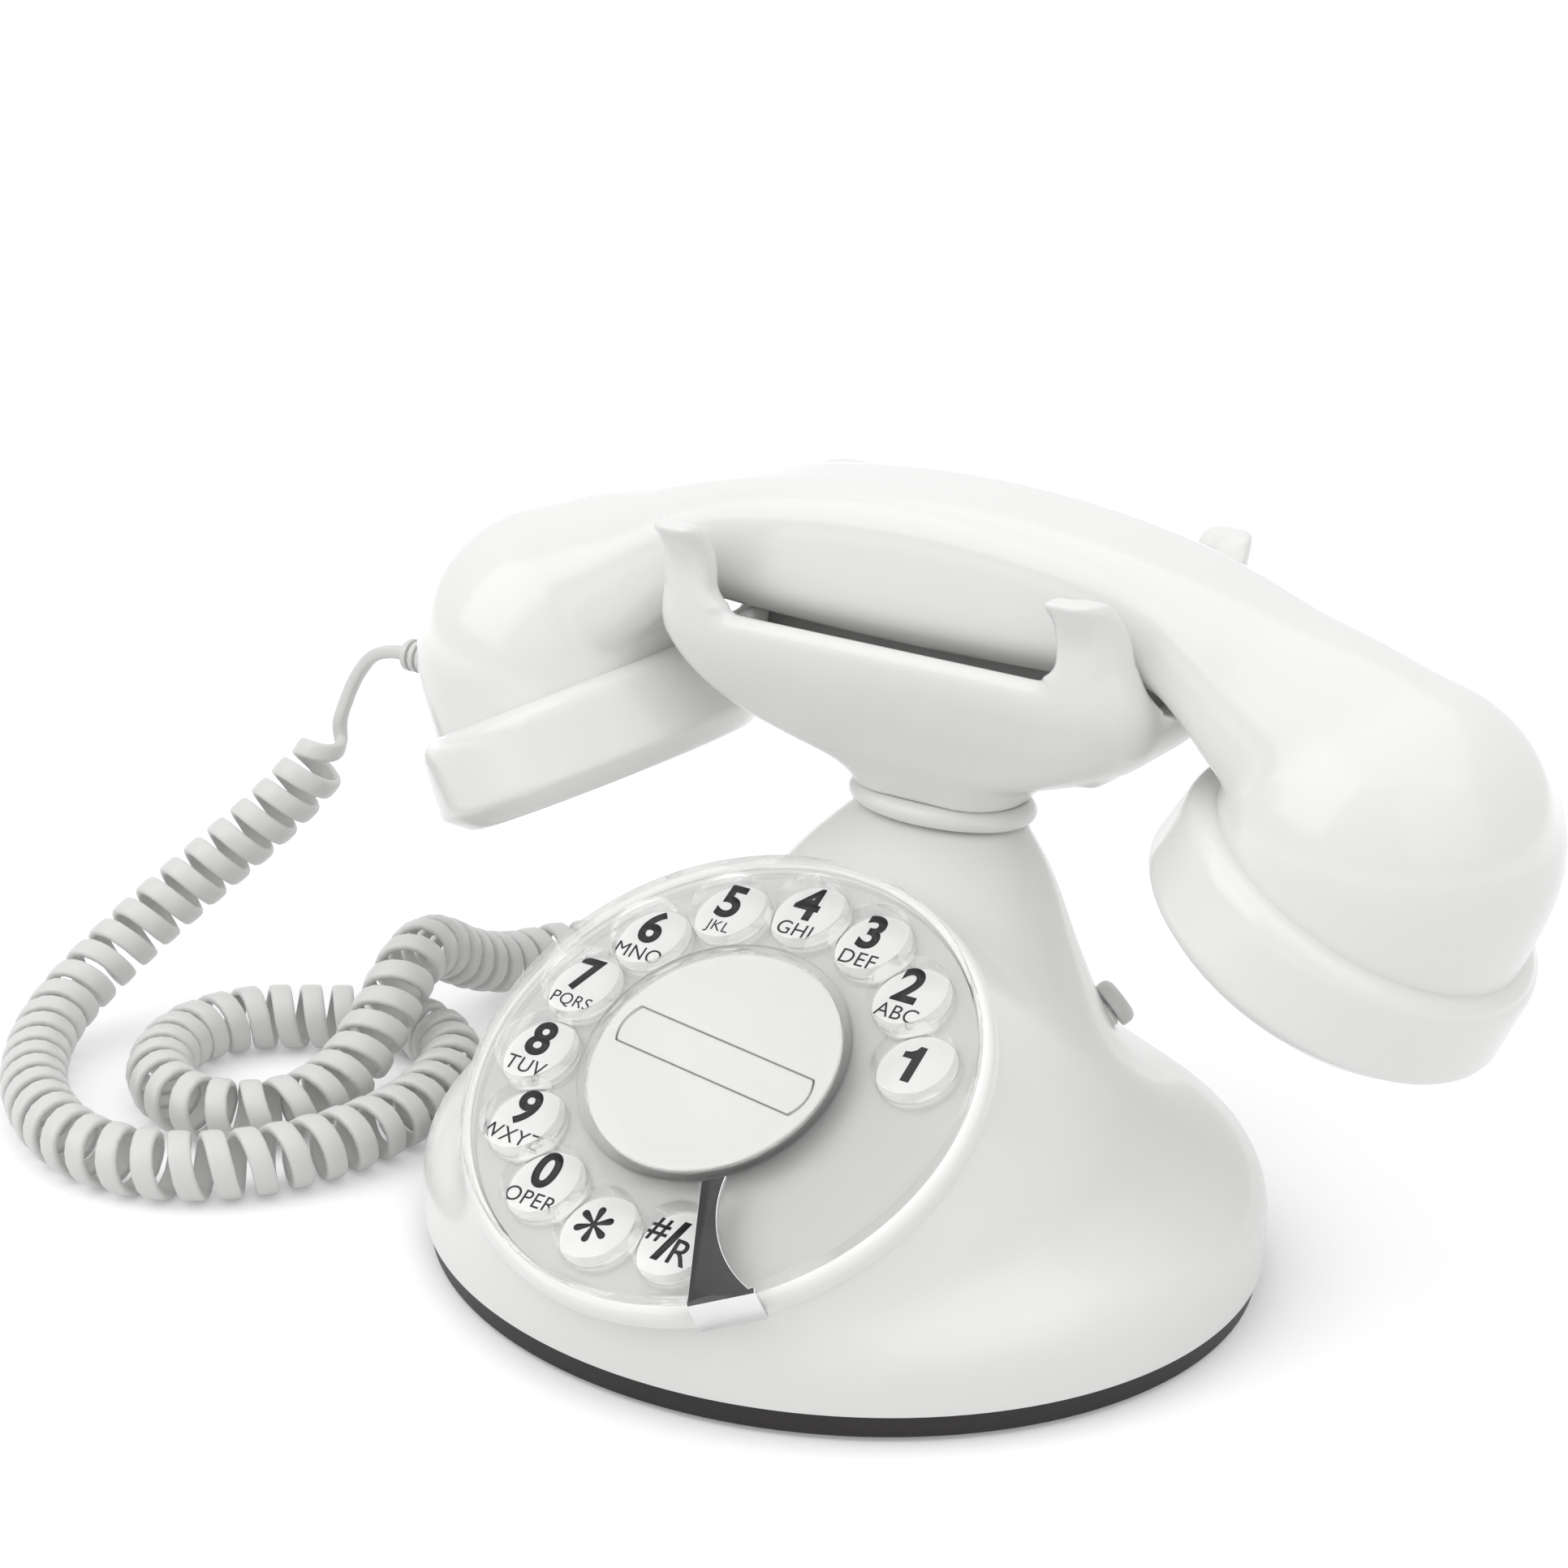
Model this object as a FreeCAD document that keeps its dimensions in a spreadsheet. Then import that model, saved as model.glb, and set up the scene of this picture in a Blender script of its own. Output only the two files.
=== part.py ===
import FreeCAD, Part
import math
import os
import re

# A desk telephone on a pedestal: dial on the slanted front, handset across a four-prong cradle.
# Millimetres. +X is the telephone's right, -Y its front, +Z up. The origin is on the table under the base.

V = FreeCAD.Vector
TURN = 2 * math.pi
OVAL_POINTS = 16
os.makedirs("parts", exist_ok=True)

SIZES = [
    ("plate_rx", 71.5, "base plate, half width"),
    ("plate_ry", 67.3, "base plate, half depth"),
    ("foot_drop", 1.0, "gap under the base plate"),
    ("plate_high", 5.0, "top of the base plate"),
    ("foot_r", 6.0, "rubber foot radius"),
    ("foot_sunk", 1.5, "foot depth inside the plate"),
    ("pad_r", 9.0, "moulded pad under the middle of the plate"),
    ("foot_x", 45.0, "feet, side offset"),
    ("foot_y", 40.0, "feet, front offset"),
    ("rim_lap", 1.1, "shell rim beyond the plate edge"),
    ("rim_high", 16.0, "top of the upright rim"),
    ("wall", 2.8, "shell wall"),
    ("neck_rx", 15.6, "neck, half width"),
    ("neck_ry", 9.8, "neck, half depth"),
    ("neck_y", 28.5, "neck centre, behind the origin"),
    ("neck_high", 68.5, "top of the neck"),
    ("neck_floor", 3.0, "floor under the cradle's socket"),
    ("socket_deep", 8.5, "depth of the cradle's socket"),
    ("socket_rx", 11.0, "cradle spigot, half width"),
    ("socket_ry", 6.5, "cradle spigot, half depth"),
    ("slip", 0.15, "gap of a hand fit"),
    ("run_gap", 0.06, "radial gap of a running fit"),
    ("free_gap", 0.4, "gap between parts that pass each other"),
    ("ring_bulge", 1.9, "neck ring, half thickness"),
    ("cradle_length", 43.5, "cradle, half length"),
    ("cradle_depth", 23.5, "cradle, half depth at the rim"),
    ("cradle_rim", 102.0, "height of the cradle's side rims"),
    ("prong_high", 117.8, "height of the prong tips"),
    ("prong_flare", 2.6, "how far the prong tips lean out"),
    ("prong_w", 11.5, "prong width"),
    ("cradle_wall", 3.6, "cradle wall"),
    ("notch_low", 94.8, "bottom of the end notches"),
    ("handle_w", 29.0, "handle width"),
    ("handle_top", 125.5, "top of the handle"),
    ("handle_low", 99.6, "underside of the handle, middle"),
    ("handle_arch", 186.0, "radius of the handle's top arch"),
    ("handle_belly", 700.0, "radius of the handle's underside"),
    ("handle_round", 8.0, "rounding of the handle's upper edges"),
    ("handle_base_round", 6.0, "rounding of the handle's lower edges"),
    ("handset_y", 28.5, "handset centre, behind the origin"),
    ("handset_wall", 2.8, "handset wall"),
    ("cap_x", 72.4, "caps, side offset"),
    ("cap_z", 62.6, "caps, height of the widest rim"),
    ("cap_tilt", 27.4, "caps, tilt towards the middle"),
    ("cap_r", 32.0, "cap radius at its widest rim"),
    ("cap_top_r", 31.2, "cap radius at its shoulder"),
    ("cap_face_r", 26.8, "cap radius at its face"),
    ("cap_high", 14.2, "cap height above the widest rim"),
    ("cap_chamfer", 4.2, "cap height below the widest rim"),
    ("cap_floor", 3.0, "cap floor"),
    ("cup_r", 27.3, "cup radius"),
    ("cup_high", 34.4, "cup height above the cap"),
    ("cup_tilt", 20.0, "cups, tilt towards the middle"),
    ("cup_round", 27.0, "rounding of the cup's crown"),
    ("thread_r", 25.5, "cup's threaded skirt, radius"),
    ("thread_high", 8.0, "cup's threaded skirt, height"),
    ("capsule_r", 21.0, "capsule radius"),
    ("capsule_high", 8.5, "capsule height"),
    ("sound_hole_r", 1.2, "sound hole radius"),
    ("bush_r", 2.4, "cord bush radius"),
    ("bush_z", 73.0, "cord bush height"),
    ("bush_tip", 119.5, "cord bush tip, left of the middle"),
    ("bush_long", 16.0, "cord bush length"),
    ("dial_y", -38.5, "dial centre, in front of the origin"),
    ("dial_z", 45.6, "dial centre height"),
    ("dial_tilt", 32.1, "dial axis, lean from upright to the front"),
    ("wheel_r", 42.6, "finger wheel radius"),
    ("wheel_thick", 3.4, "finger wheel thickness"),
    ("hole_ring", 32.4, "circle of the finger holes"),
    ("hole_r", 6.6, "finger hole radius"),
    ("hole_first", 19.6, "first finger hole, angle from the right"),
    ("hole_step", 24.49, "angle between finger holes"),
    ("card_r", 21.0, "number card radius"),
    ("card_thick", 0.5, "number card thickness"),
    ("window_thick", 1.0, "card window thickness"),
    ("ring_thick", 1.4, "card ring thickness"),
    ("bezel_r", 44.3, "bezel radius"),
    ("bezel_seat", 7.0, "depth of the bezel's seat behind the wheel"),
    ("number_plate_r", 41.5, "number plate radius"),
    ("number_plate_thick", 1.2, "number plate thickness"),
    ("plate_drop", 4.4, "number plate below the wheel's face"),
    ("housing_spread", 18.5, "how much the dial housing widens to its root"),
    ("housing_deep", 40.0, "depth of the dial housing"),
    ("dial_hole_r", 36.0, "opening for the dial works"),
    ("frame_thick", 2.0, "dial frame plate"),
    ("frame_drop", 12.0, "dial frame below the wheel's face"),
    ("shaft_r", 3.0, "dial shaft radius"),
    ("gear_module", 1.0, "gear module"),
    ("gear_thick", 2.6, "gear thickness"),
    ("stop_angle", 303.0, "finger stop, angle from the right"),
    ("stop_long", 19.0, "finger stop, length over the wheel"),
    ("stop_w", 10.5, "finger stop, width at the rim"),
    ("stop_thick", 1.0, "finger stop thickness"),
    ("hook_half", 36.0, "hook bar, half length"),
    ("hook_w", 7.0, "hook bar width"),
    ("hook_thick", 4.0, "hook bar thickness"),
    ("hook_rise", 4.0, "hook travel"),
    ("rod_r", 2.5, "hook rod radius"),
    ("board_w", 84.0, "circuit board width"),
    ("board_d", 56.0, "circuit board depth"),
    ("board_thick", 1.6, "circuit board thickness"),
    ("board_y", 22.0, "circuit board centre, behind the origin"),
    ("post_high", 6.0, "board posts above the plate"),
    ("post_r", 3.0, "board post radius"),
    ("switch_high", 14.0, "hook switch height"),
    ("screw_r", 1.4, "screw shank radius"),
    ("screw_head_r", 2.7, "screw head radius"),
    ("screw_head_high", 1.6, "screw head height"),
    ("boss_r", 4.0, "screw boss radius"),
    ("boss_out", 0.7552, "screw bosses, side offset as a share of the plate's half width"),
    ("boss_ahead", 0.3269, "screw bosses, front offset as a share of the plate's half depth"),
    ("knob_r", 4.2, "volume knob radius"),
    ("knob_high", 3.0, "volume knob height"),
    ("knob_z", 36.8, "volume knob height above the table"),
    ("jack_w", 14.0, "line jack width"),
    ("jack_high", 10.0, "line jack height"),
    ("jack_deep", 14.0, "line jack depth"),
    ("grommet_r", 3.4, "cord grommet radius"),
    ("grommet_z", 10.5, "cord grommet height"),
    ("grommet_angle", 137.0, "cord grommet, angle round the base"),
    ("wire_r", 1.25, "handset cord, wire radius"),
    ("curl_r", 5.2, "handset cord, radius of the curls at mid wire"),
    ("curl_pitch", 5.9, "handset cord, pitch of the curls"),
]
GEAR_TEETH = 36
PINION_TEETH = 12
FINGER_HOLES = 12
PRESSURE_ANGLE = math.radians(20)

# Shape of the trumpet from rim to neck: rise, then how much of the spread from neck to rim is left
# at the sides, at the front and at the back.
FLARE = [
    (0.0, 1.0, 1.0, 1.0),
    (0.1, 0.91, 0.90, 0.82),
    (0.2, 0.69, 0.76, 0.52),
    (0.34, 0.50, 0.60, 0.32),
    (0.6, 0.305, 0.33, 0.155),
    (0.85, 0.14, 0.12, 0.05),
    (1.0, 0.0, 0.0, 0.0),
]
# Shape of the cradle from stem to rim: rise, share of the half length, share of the half depth.
HULL = [
    (0.0, 0.355, 0.41),
    (0.16, 0.47, 0.51),
    (0.29, 0.64, 0.615),
    (0.43, 0.815, 0.725),
    (0.58, 0.93, 0.83),
    (0.77, 0.99, 0.935),
    (1.0, 1.0, 1.0),
]
# Route of the handset cord after the bush: hand-picked points in the air, on the table and to the grommet.
CORD_ROUTE = [
    (-126.5, 28.5, 73.0),
    (-132.5, 28.0, 66.0),
    (-135.0, 26.0, 57.0),
    (-137.5, 22.0, 48.0),
    (-142.5, 14.5, 39.5),
    (-149.0, 5.5, 31.0),
    (-155.0, -5.0, 22.5),
    (-159.0, -16.5, 14.5),
    (-158.5, -29.5, 8.6),
    (-150.5, -43.0, 6.5),
    (-136.0, -56.5, 6.5),
    (-118.0, -64.5, 6.5),
    (-101.0, -62.0, 6.5),
    (-89.5, -52.5, 6.5),
    (-83.0, -40.0, 6.5),
    (-80.0, -26.5, 6.5),
    (-81.0, -12.5, 6.5),
    (-86.5, 1.5, 6.5),
    (-97.0, 9.5, 6.5),
    (-110.0, 9.5, 6.5),
    (-121.5, 2.0, 6.5),
    (-133.0, -7.0, 6.5),
    (-135.5, -22.0, 6.5),
    (-126.0, -37.0, 6.5),
    (-110.5, -42.0, 6.5),
    (-97.5, -34.5, 6.5),
    (-95.5, -20.0, 8.0),
    (-97.5, -6.0, 15.0),
    (-100.0, 4.5, 22.0),
    (-103.5, 15.5, 22.0),
    (-106.5, 29.0, 13.0),
    (-107.5, 43.0, 7.0),
    (-103.0, 56.5, 6.5),
    (-92.0, 65.0, 6.5),
    (-79.0, 66.5, 7.5),
]
CORD_PLAIN_LEAD = 22.0
CORD_PLAIN_TAIL = 14.0
CURL_START = 15.0

doc = FreeCAD.newDocument("telephone")
sizes = doc.addObject("Spreadsheet::Sheet", "sizes")
for row, (alias, value, note) in enumerate(SIZES, 1):
    sizes.set(f"A{row}", note)
    sizes.set(f"B{row}", str(value))
    sizes.setAlias(f"B{row}", alias)
doc.recompute()
ALIASES = {alias for alias, value, note in SIZES}
NODES = []


def size(alias):
    return float(sizes.get(alias))


def formula(text):
    return re.sub(r"[a-z_][a-z0-9_]*", lambda word: name_cell(word.group()), text)


def name_cell(word):
    return "sizes." + word if word in ALIASES else word


def place(piece, x="0", y="0", z="0"):
    for letter, text in zip("xyz", (x, y, z)):
        piece.setExpression(".Placement.Base." + letter, formula(text))
    return piece


def make(kind, name, at=("0", "0", "0"), **measures):
    piece = doc.addObject(kind, name)
    for measure, text in measures.items():
        piece.setExpression(measure, formula(text))
    return place(piece, *at)


def cylinder(name, radius, height, at=("0", "0", "0")):
    return make("Part::Cylinder", name, at, Radius=radius, Height=height)


def cone(name, low_radius, high_radius, height, at=("0", "0", "0")):
    return make("Part::Cone", name, at, Radius1=low_radius, Radius2=high_radius, Height=height)


def box(name, length, width, height, at):
    return make("Part::Box", name, at, Length=length, Width=width, Height=height)


def middle_box(name, length, width, height, x="0", y="0", z="0"):
    corner = (f"({x}) - ({length}) / 2", f"({y}) - ({width}) / 2", z)
    return box(name, length, width, height, corner)


def oval_slab(name, rx, ry, height, at=("0", "0", "0")):
    longer = f"max({rx}; {ry})"
    shorter = f"min({rx}; {ry})"
    rim = make("Part::Ellipse", name + "_outline", at, MajorRadius=longer, MinorRadius=shorter)
    rim.Placement.Rotation = FreeCAD.Rotation(V(0, 0, 1), 1)
    rim.setExpression(".Placement.Rotation.Angle", formula(f"{rx} < {ry} ? 90 : 0"))
    slab = doc.addObject("Part::Extrusion", name)
    slab.Base = rim
    slab.DirMode = "Custom"
    slab.Dir = V(0, 0, 1)
    slab.Solid = True
    slab.setExpression("LengthFwd", formula(height))
    return slab


def shape_piece(name, shape):
    piece = doc.addObject("Part::Feature", name)
    piece.Shape = shape
    return piece


def fuse(name, *pieces):
    piece = doc.addObject("Part::MultiFuse", name)
    piece.Shapes = list(pieces)
    return piece


def cut(name, base, *tools):
    piece = doc.addObject("Part::Cut", name)
    piece.Base = base
    piece.Tool = tools[0] if len(tools) == 1 else fuse(name + "_cuts", *tools)
    return piece


def common(name, first, second):
    piece = doc.addObject("Part::Common", name)
    piece.Base = first
    piece.Tool = second
    return piece


def loft(name, sections):
    piece = doc.addObject("Part::Loft", name)
    piece.Sections = sections
    piece.Solid = True
    return piece


def rounded(name, base, radius, wanted):
    doc.recompute()
    picked = [number for number, edge in enumerate(base.Shape.Edges, 1) if wanted(edge)]
    piece = doc.addObject("Part::Fillet", name)
    piece.Base = base
    piece.Edges = [(number, radius, radius) for number in picked]
    return piece


def group(name, pieces):
    piece = doc.addObject("Part::Compound", name)
    piece.Links = pieces
    return piece


def node(label, piece):
    piece.Label = label
    NODES.append(piece)
    return piece


def turned(piece, axis, angle):
    piece.Placement = FreeCAD.Placement(V(), FreeCAD.Rotation(axis, 1))
    piece.setExpression(".Placement.Rotation.Angle", formula(angle))
    return piece


def on_dial(piece):
    """Stands a piece that is drawn with the dial axis as Z on the slanted dial plane."""
    return place(turned(piece, V(1, 0, 0), "dial_tilt"), "0", "dial_y", "dial_z")


def on_cup(piece, side):
    """Stands a piece that is drawn along Z on the tilted axis of the right (1) or left (-1) cup."""
    return place(turned(piece, V(0, side, 0), "cap_tilt"), f"{side} * cap_x", "handset_y", "cap_z")


def on_dome(piece):
    """Stands a piece that is drawn along Z on the left cup's own axis, over the cap's shoulder."""
    x = "-(cap_x + cap_high * sin(cap_tilt * 1deg))"
    z = "cap_z + cap_high * cos(cap_tilt * 1deg)"
    return place(turned(piece, V(0, -1, 0), "cup_tilt"), x, "handset_y", z)


def oval_edge(rx, ry, x, y, z):
    angles = [TURN * (0.25 + number / OVAL_POINTS) for number in range(OVAL_POINTS)]
    points = [V(x + rx * math.cos(angle), y + ry * math.sin(angle), z) for angle in angles]
    curve = Part.BSplineCurve()
    curve.interpolate(Points=points, PeriodicFlag=True)
    return curve.toShape()


def oval_prism(name, inset, low, height):
    """An upright oval block with the rim's outline, drawn smaller by the inset."""
    rx = size("plate_rx") + size("rim_lap") - inset
    ry = size("plate_ry") + size("rim_lap") - inset
    block = doc.addObject("Part::Extrusion", name)
    block.Base = shape_piece(name + "_outline", oval_edge(rx, ry, 0, 0, low))
    block.DirMode = "Custom"
    block.Dir = V(0, 0, 1)
    block.Solid = True
    block.setExpression("LengthFwd", formula(height))
    return block


# Screws: one shank and one head, the head at the bottom.
def screw(name, x, y, z, length, shank="screw_r", head="screw_head_r"):
    stem = cylinder(name + "_shank", shank, f"{length} + screw_head_high", (x, y, z))
    cap = cylinder(name + "_head", head, "screw_head_high", (x, y, z))
    return fuse(name, stem, cap)


CORNERS = [("left_front", -1, -1), ("right_front", 1, -1), ("left_rear", -1, 1), ("right_rear", 1, 1)]
BOSS_X = "(plate_rx * boss_out)"
BOSS_Y = "(plate_ry * boss_ahead)"


# Base plate: an oval plate on four rubber feet, with posts for the circuit board.
plate = oval_slab("plate_slab", "plate_rx", "plate_ry", "plate_high - foot_drop", ("0", "0", "foot_drop"))
posts, post_holes, foot_pits, feet, plate_holes = [], [], [], [], []
POST_X = "(board_w / 2 - 6)"
POST_Y = "(board_d / 2 - 6)"
for corner, sx, sy in CORNERS:
    x = f"{sx} * {POST_X}"
    y = f"board_y + {sy} * {POST_Y}"
    posts.append(cylinder("post_" + corner, "post_r", "post_high", (x, y, "plate_high")))
    at_post = (x, y, "plate_high")
    post_holes.append(cylinder("post_hole_" + corner, "screw_r - run_gap", "post_high", at_post))
    at_foot = (f"{sx} * foot_x", f"{sy} * foot_y")
    foot_pits.append(cylinder("foot_pit_" + corner, "foot_r", "foot_sunk", (*at_foot, "foot_drop")))
    feet.append(cylinder("foot_" + corner, "foot_r - slip", "foot_drop + foot_sunk", (*at_foot, "0")))
    at_boss = (f"{sx} * {BOSS_X}", f"{sy} * {BOSS_Y}")
    plate_holes.append(cylinder("plate_hole_" + corner, "screw_r + slip", "plate_high", (*at_boss, "0")))
    sink_high = "screw_head_high + foot_drop"
    sink = cylinder("plate_sink_" + corner, "screw_head_r + slip", sink_high, (*at_boss, "0"))
    plate_holes.append(sink)
pad = cylinder("plate_pad", "pad_r", "foot_drop + 1", ("0", "0", "0"))
plate_body = fuse("plate_body", plate, pad, *posts)
node("base_plate", cut("base_plate", plate_body, *foot_pits, *plate_holes, *post_holes))
node("rubber_feet", group("rubber_feet", feet))
BASE_SCREW_LONG = "plate_high - foot_drop - screw_head_high + 8"
base_screws = [
    screw("base_screw_" + corner, f"{sx} * {BOSS_X}", f"{sy} * {BOSS_Y}", "foot_drop", BASE_SCREW_LONG)
    for corner, sx, sy in CORNERS
]
node("base_screws", group("base_screws", base_screws))


# Body shell: upright oval rim, trumpet up to the neck and the cone that carries the dial.
def trumpet(name, inset, drop, top):
    rim_x = size("plate_rx") + size("rim_lap")
    rim_y = size("plate_ry") + size("rim_lap")
    front = size("neck_y") - size("neck_ry")
    back = size("neck_y") + size("neck_ry")
    sections = []
    for number, (rise, side, ahead, behind) in enumerate(FLARE):
        rx = size("neck_rx") + side * (rim_x - size("neck_rx")) - inset
        y_front = front - ahead * (front + rim_y) + inset
        y_back = back + behind * (rim_y - back) - inset
        z = size("rim_high") - drop + rise * (top - size("rim_high") + drop)
        edge = oval_edge(rx, (y_back - y_front) / 2, 0, (y_back + y_front) / 2, z)
        sections.append(shape_piece(f"{name}_section_{number}", edge))
    return loft(name, sections)


NECK_INSIDE = size("neck_high") - size("socket_deep") - size("neck_floor")
rim_outer = oval_prism("rim_outer", 0, size("plate_high"), "rim_high - plate_high")
rim_bound = oval_prism("rim_bound", 0, size("plate_high"), "neck_high")
rim_inner = oval_prism("rim_inner", size("wall"), 0, "rim_high - wall * 0.6")
inner_bound = oval_prism("inner_bound", size("wall"), 0, "neck_high")
trumpet_outer = trumpet("trumpet_outer", 0, 0, size("neck_high"))
trumpet_inner = trumpet("trumpet_inner", size("wall"), size("wall") * 0.6, NECK_INSIDE)
housing = cone(
    "housing",
    "bezel_r - 0.6 + housing_spread",
    "bezel_r - 0.6",
    "housing_deep",
    ("0", "0", "-bezel_seat - housing_deep"),
)
housing_group = on_dial(group("housing_on_dial", [housing]))
housing_outer = common("housing_outer", housing_group, rim_bound)
hollow = cone(
    "hollow",
    "bezel_r - 0.6 + housing_spread - wall",
    "bezel_r - 0.6 - wall",
    "housing_deep + wall",
    ("0", "0", "-bezel_seat - housing_deep - wall * 2"),
)
hollow_group = on_dial(group("hollow_on_dial", [hollow]))
housing_inner = common("housing_inner", hollow_group, inner_bound)
body_outer = fuse("body_outer", rim_outer, trumpet_outer, housing_outer)
body_inner = fuse("body_inner", rim_inner, trumpet_inner, housing_inner)
DIAL_HOLE_LOW = "-bezel_seat - wall * 2"
dial_hole_round = cylinder("dial_hole_round", "dial_hole_r", "wall * 3", ("0", "0", DIAL_HOLE_LOW))
dial_hole = on_dial(group("dial_hole", [dial_hole_round]))
socket = oval_slab(
    "neck_socket",
    "socket_rx + slip",
    "socket_ry + slip",
    "socket_deep + 1",
    ("0", "neck_y", "neck_high - socket_deep"),
)
rod_hole = cylinder("neck_rod_hole", "rod_r + run_gap * 3", "neck_high", ("0", "neck_y", "plate_high"))
CRADLE_SCREW_X = "socket_rx * 0.6"
NECK_SCREW_HOLE_R = "screw_r * 0.85 + slip"
neck_screw_holes = [
    cylinder(
        f"neck_screw_hole_{side}",
        NECK_SCREW_HOLE_R,
        "neck_high",
        (f"{side} * {CRADLE_SCREW_X}", "neck_y", "plate_high"),
    )
    for side in (-1, 1)
]
JACK_Y = "plate_ry + rim_lap - jack_deep"
jack_window = middle_box(
    "jack_window",
    "jack_w + slip * 2",
    "jack_deep * 2",
    "jack_high + slip",
    "0",
    "plate_ry",
    "plate_high",
)
body_skin = cut("body_skin", body_outer, body_inner)
doc.recompute()
bosses = [
    cylinder("boss_" + corner, "boss_r", "rim_high", (f"{sx} * {BOSS_X}", f"{sy} * {BOSS_Y}", "plate_high"))
    for corner, sx, sy in CORNERS
]
boss_inside = common("boss_inside", group("bosses", bosses), body_outer)
boss_holes = [
    cylinder(
        "boss_hole_" + corner,
        "screw_r + run_gap",
        "9",
        (f"{sx} * {BOSS_X}", f"{sy} * {BOSS_Y}", "plate_high"),
    )
    for corner, sx, sy in CORNERS
]


# Cord grommet: pointing straight out of the rim on the left rear.
def grommet_frame():
    angle = math.radians(size("grommet_angle"))
    rx = size("plate_rx") + size("rim_lap")
    ry = size("plate_ry") + size("rim_lap")
    foot = V(rx * math.cos(angle), ry * math.sin(angle), size("grommet_z"))
    out = V(math.cos(angle) / rx, math.sin(angle) / ry, 0).normalize()
    return foot, out


def along(foot, out, start, end, radius, end_radius=None):
    base = foot + out * start
    if end_radius is None:
        return Part.makeCylinder(radius, end - start, base, out)
    return Part.makeCone(radius, end_radius, end - start, base, out)


GROMMET_FOOT, GROMMET_OUT = grommet_frame()
GROMMET_LONG = 9.0
grommet_hole = shape_piece(
    "grommet_hole", along(GROMMET_FOOT, GROMMET_OUT, -size("wall") * 3, 2, size("grommet_r") + size("slip"))
)
grommet_parts = [
    along(GROMMET_FOOT, GROMMET_OUT, -size("wall") - 2, 1, size("grommet_r")),
    along(GROMMET_FOOT, GROMMET_OUT, 1, GROMMET_LONG, size("grommet_r") + 1, size("wire_r") + 0.9),
]
grommet_shape = grommet_parts[0].fuse(grommet_parts[1])
node("cord_grommet", shape_piece("cord_grommet", grommet_shape))


# Volume knob: its axis stands square to the shell on the right rear of the pedestal.
KNOB_AROUND = math.radians(50)
KNOB_LIFT = math.radians(35)
KNOB_OUT = V(
    math.cos(KNOB_LIFT) * math.cos(KNOB_AROUND),
    math.cos(KNOB_LIFT) * math.sin(KNOB_AROUND),
    math.sin(KNOB_LIFT),
)


def knob_crossing(solid):
    """How far along the knob's axis the surface of a solid lies from the axis point inside the pedestal."""
    start = V(14, 17, size("knob_z") - 18)
    ray = Part.makeLine(start, start + KNOB_OUT * 80)
    inside = ray.common(solid)
    return start, max((vertex.Point - start).Length for vertex in inside.Vertexes)


doc.recompute()
KNOB_START, SHELL_AT = knob_crossing(body_outer.Shape)
CAVITY_AT = knob_crossing(body_inner.Shape)[1]
KNOB_SHAFT_R = 1.6


def on_knob(start, end, radius):
    return Part.makeCylinder(radius, end - start, KNOB_START + KNOB_OUT * start, KNOB_OUT)


knob_hole = shape_piece("knob_hole", on_knob(CAVITY_AT - 4, SHELL_AT + 4, KNOB_SHAFT_R + size("free_gap")))
KNOB_FOOT = SHELL_AT + size("free_gap") * 3
knob_solid = on_knob(KNOB_FOOT, KNOB_FOOT + size("knob_high"), size("knob_r"))
knob_solid = knob_solid.makeFillet(0.7, [knob_solid.Edges[0]])
node("volume_knob", shape_piece("volume_knob", knob_solid))
POT_FACE = CAVITY_AT - size("free_gap") * 3
POT_LONG = 6.0
pot_shape = on_knob(POT_FACE - POT_LONG, POT_FACE, size("knob_r") + 1)
pot_bore = on_knob(POT_FACE - POT_LONG + 1.5, POT_FACE, KNOB_SHAFT_R + size("run_gap"))
node("volume_control", shape_piece("volume_control", pot_shape.cut(pot_bore)))
shaft_solid = on_knob(POT_FACE - POT_LONG + 1.6, KNOB_FOOT, KNOB_SHAFT_R)
node("volume_shaft", shape_piece("volume_shaft", shaft_solid))

body_with_bosses = fuse("body_with_bosses", body_skin, boss_inside)
body_shell = cut(
    "body_shell",
    body_with_bosses,
    dial_hole,
    socket,
    rod_hole,
    *neck_screw_holes,
    jack_window,
    *boss_holes,
    grommet_hole,
    knob_hole,
)
node("body_shell", body_shell)

# Neck ring: a rounded oval band between the neck and the cradle.
ring_outer = oval_slab(
    "ring_outer",
    "neck_rx + ring_bulge",
    "neck_ry + ring_bulge",
    "ring_bulge * 2",
    ("0", "neck_y", "neck_high"),
)
ring_band = rounded(
    "ring_band",
    ring_outer,
    size("ring_bulge") * 0.95,
    lambda edge: edge.BoundBox.ZLength < 0.01,
)
ring_hole = oval_slab(
    "ring_hole",
    "socket_rx + slip",
    "socket_ry + slip",
    "ring_bulge * 2",
    ("0", "neck_y", "neck_high"),
)
node("neck_ring", cut("neck_ring", ring_band, ring_hole))


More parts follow.
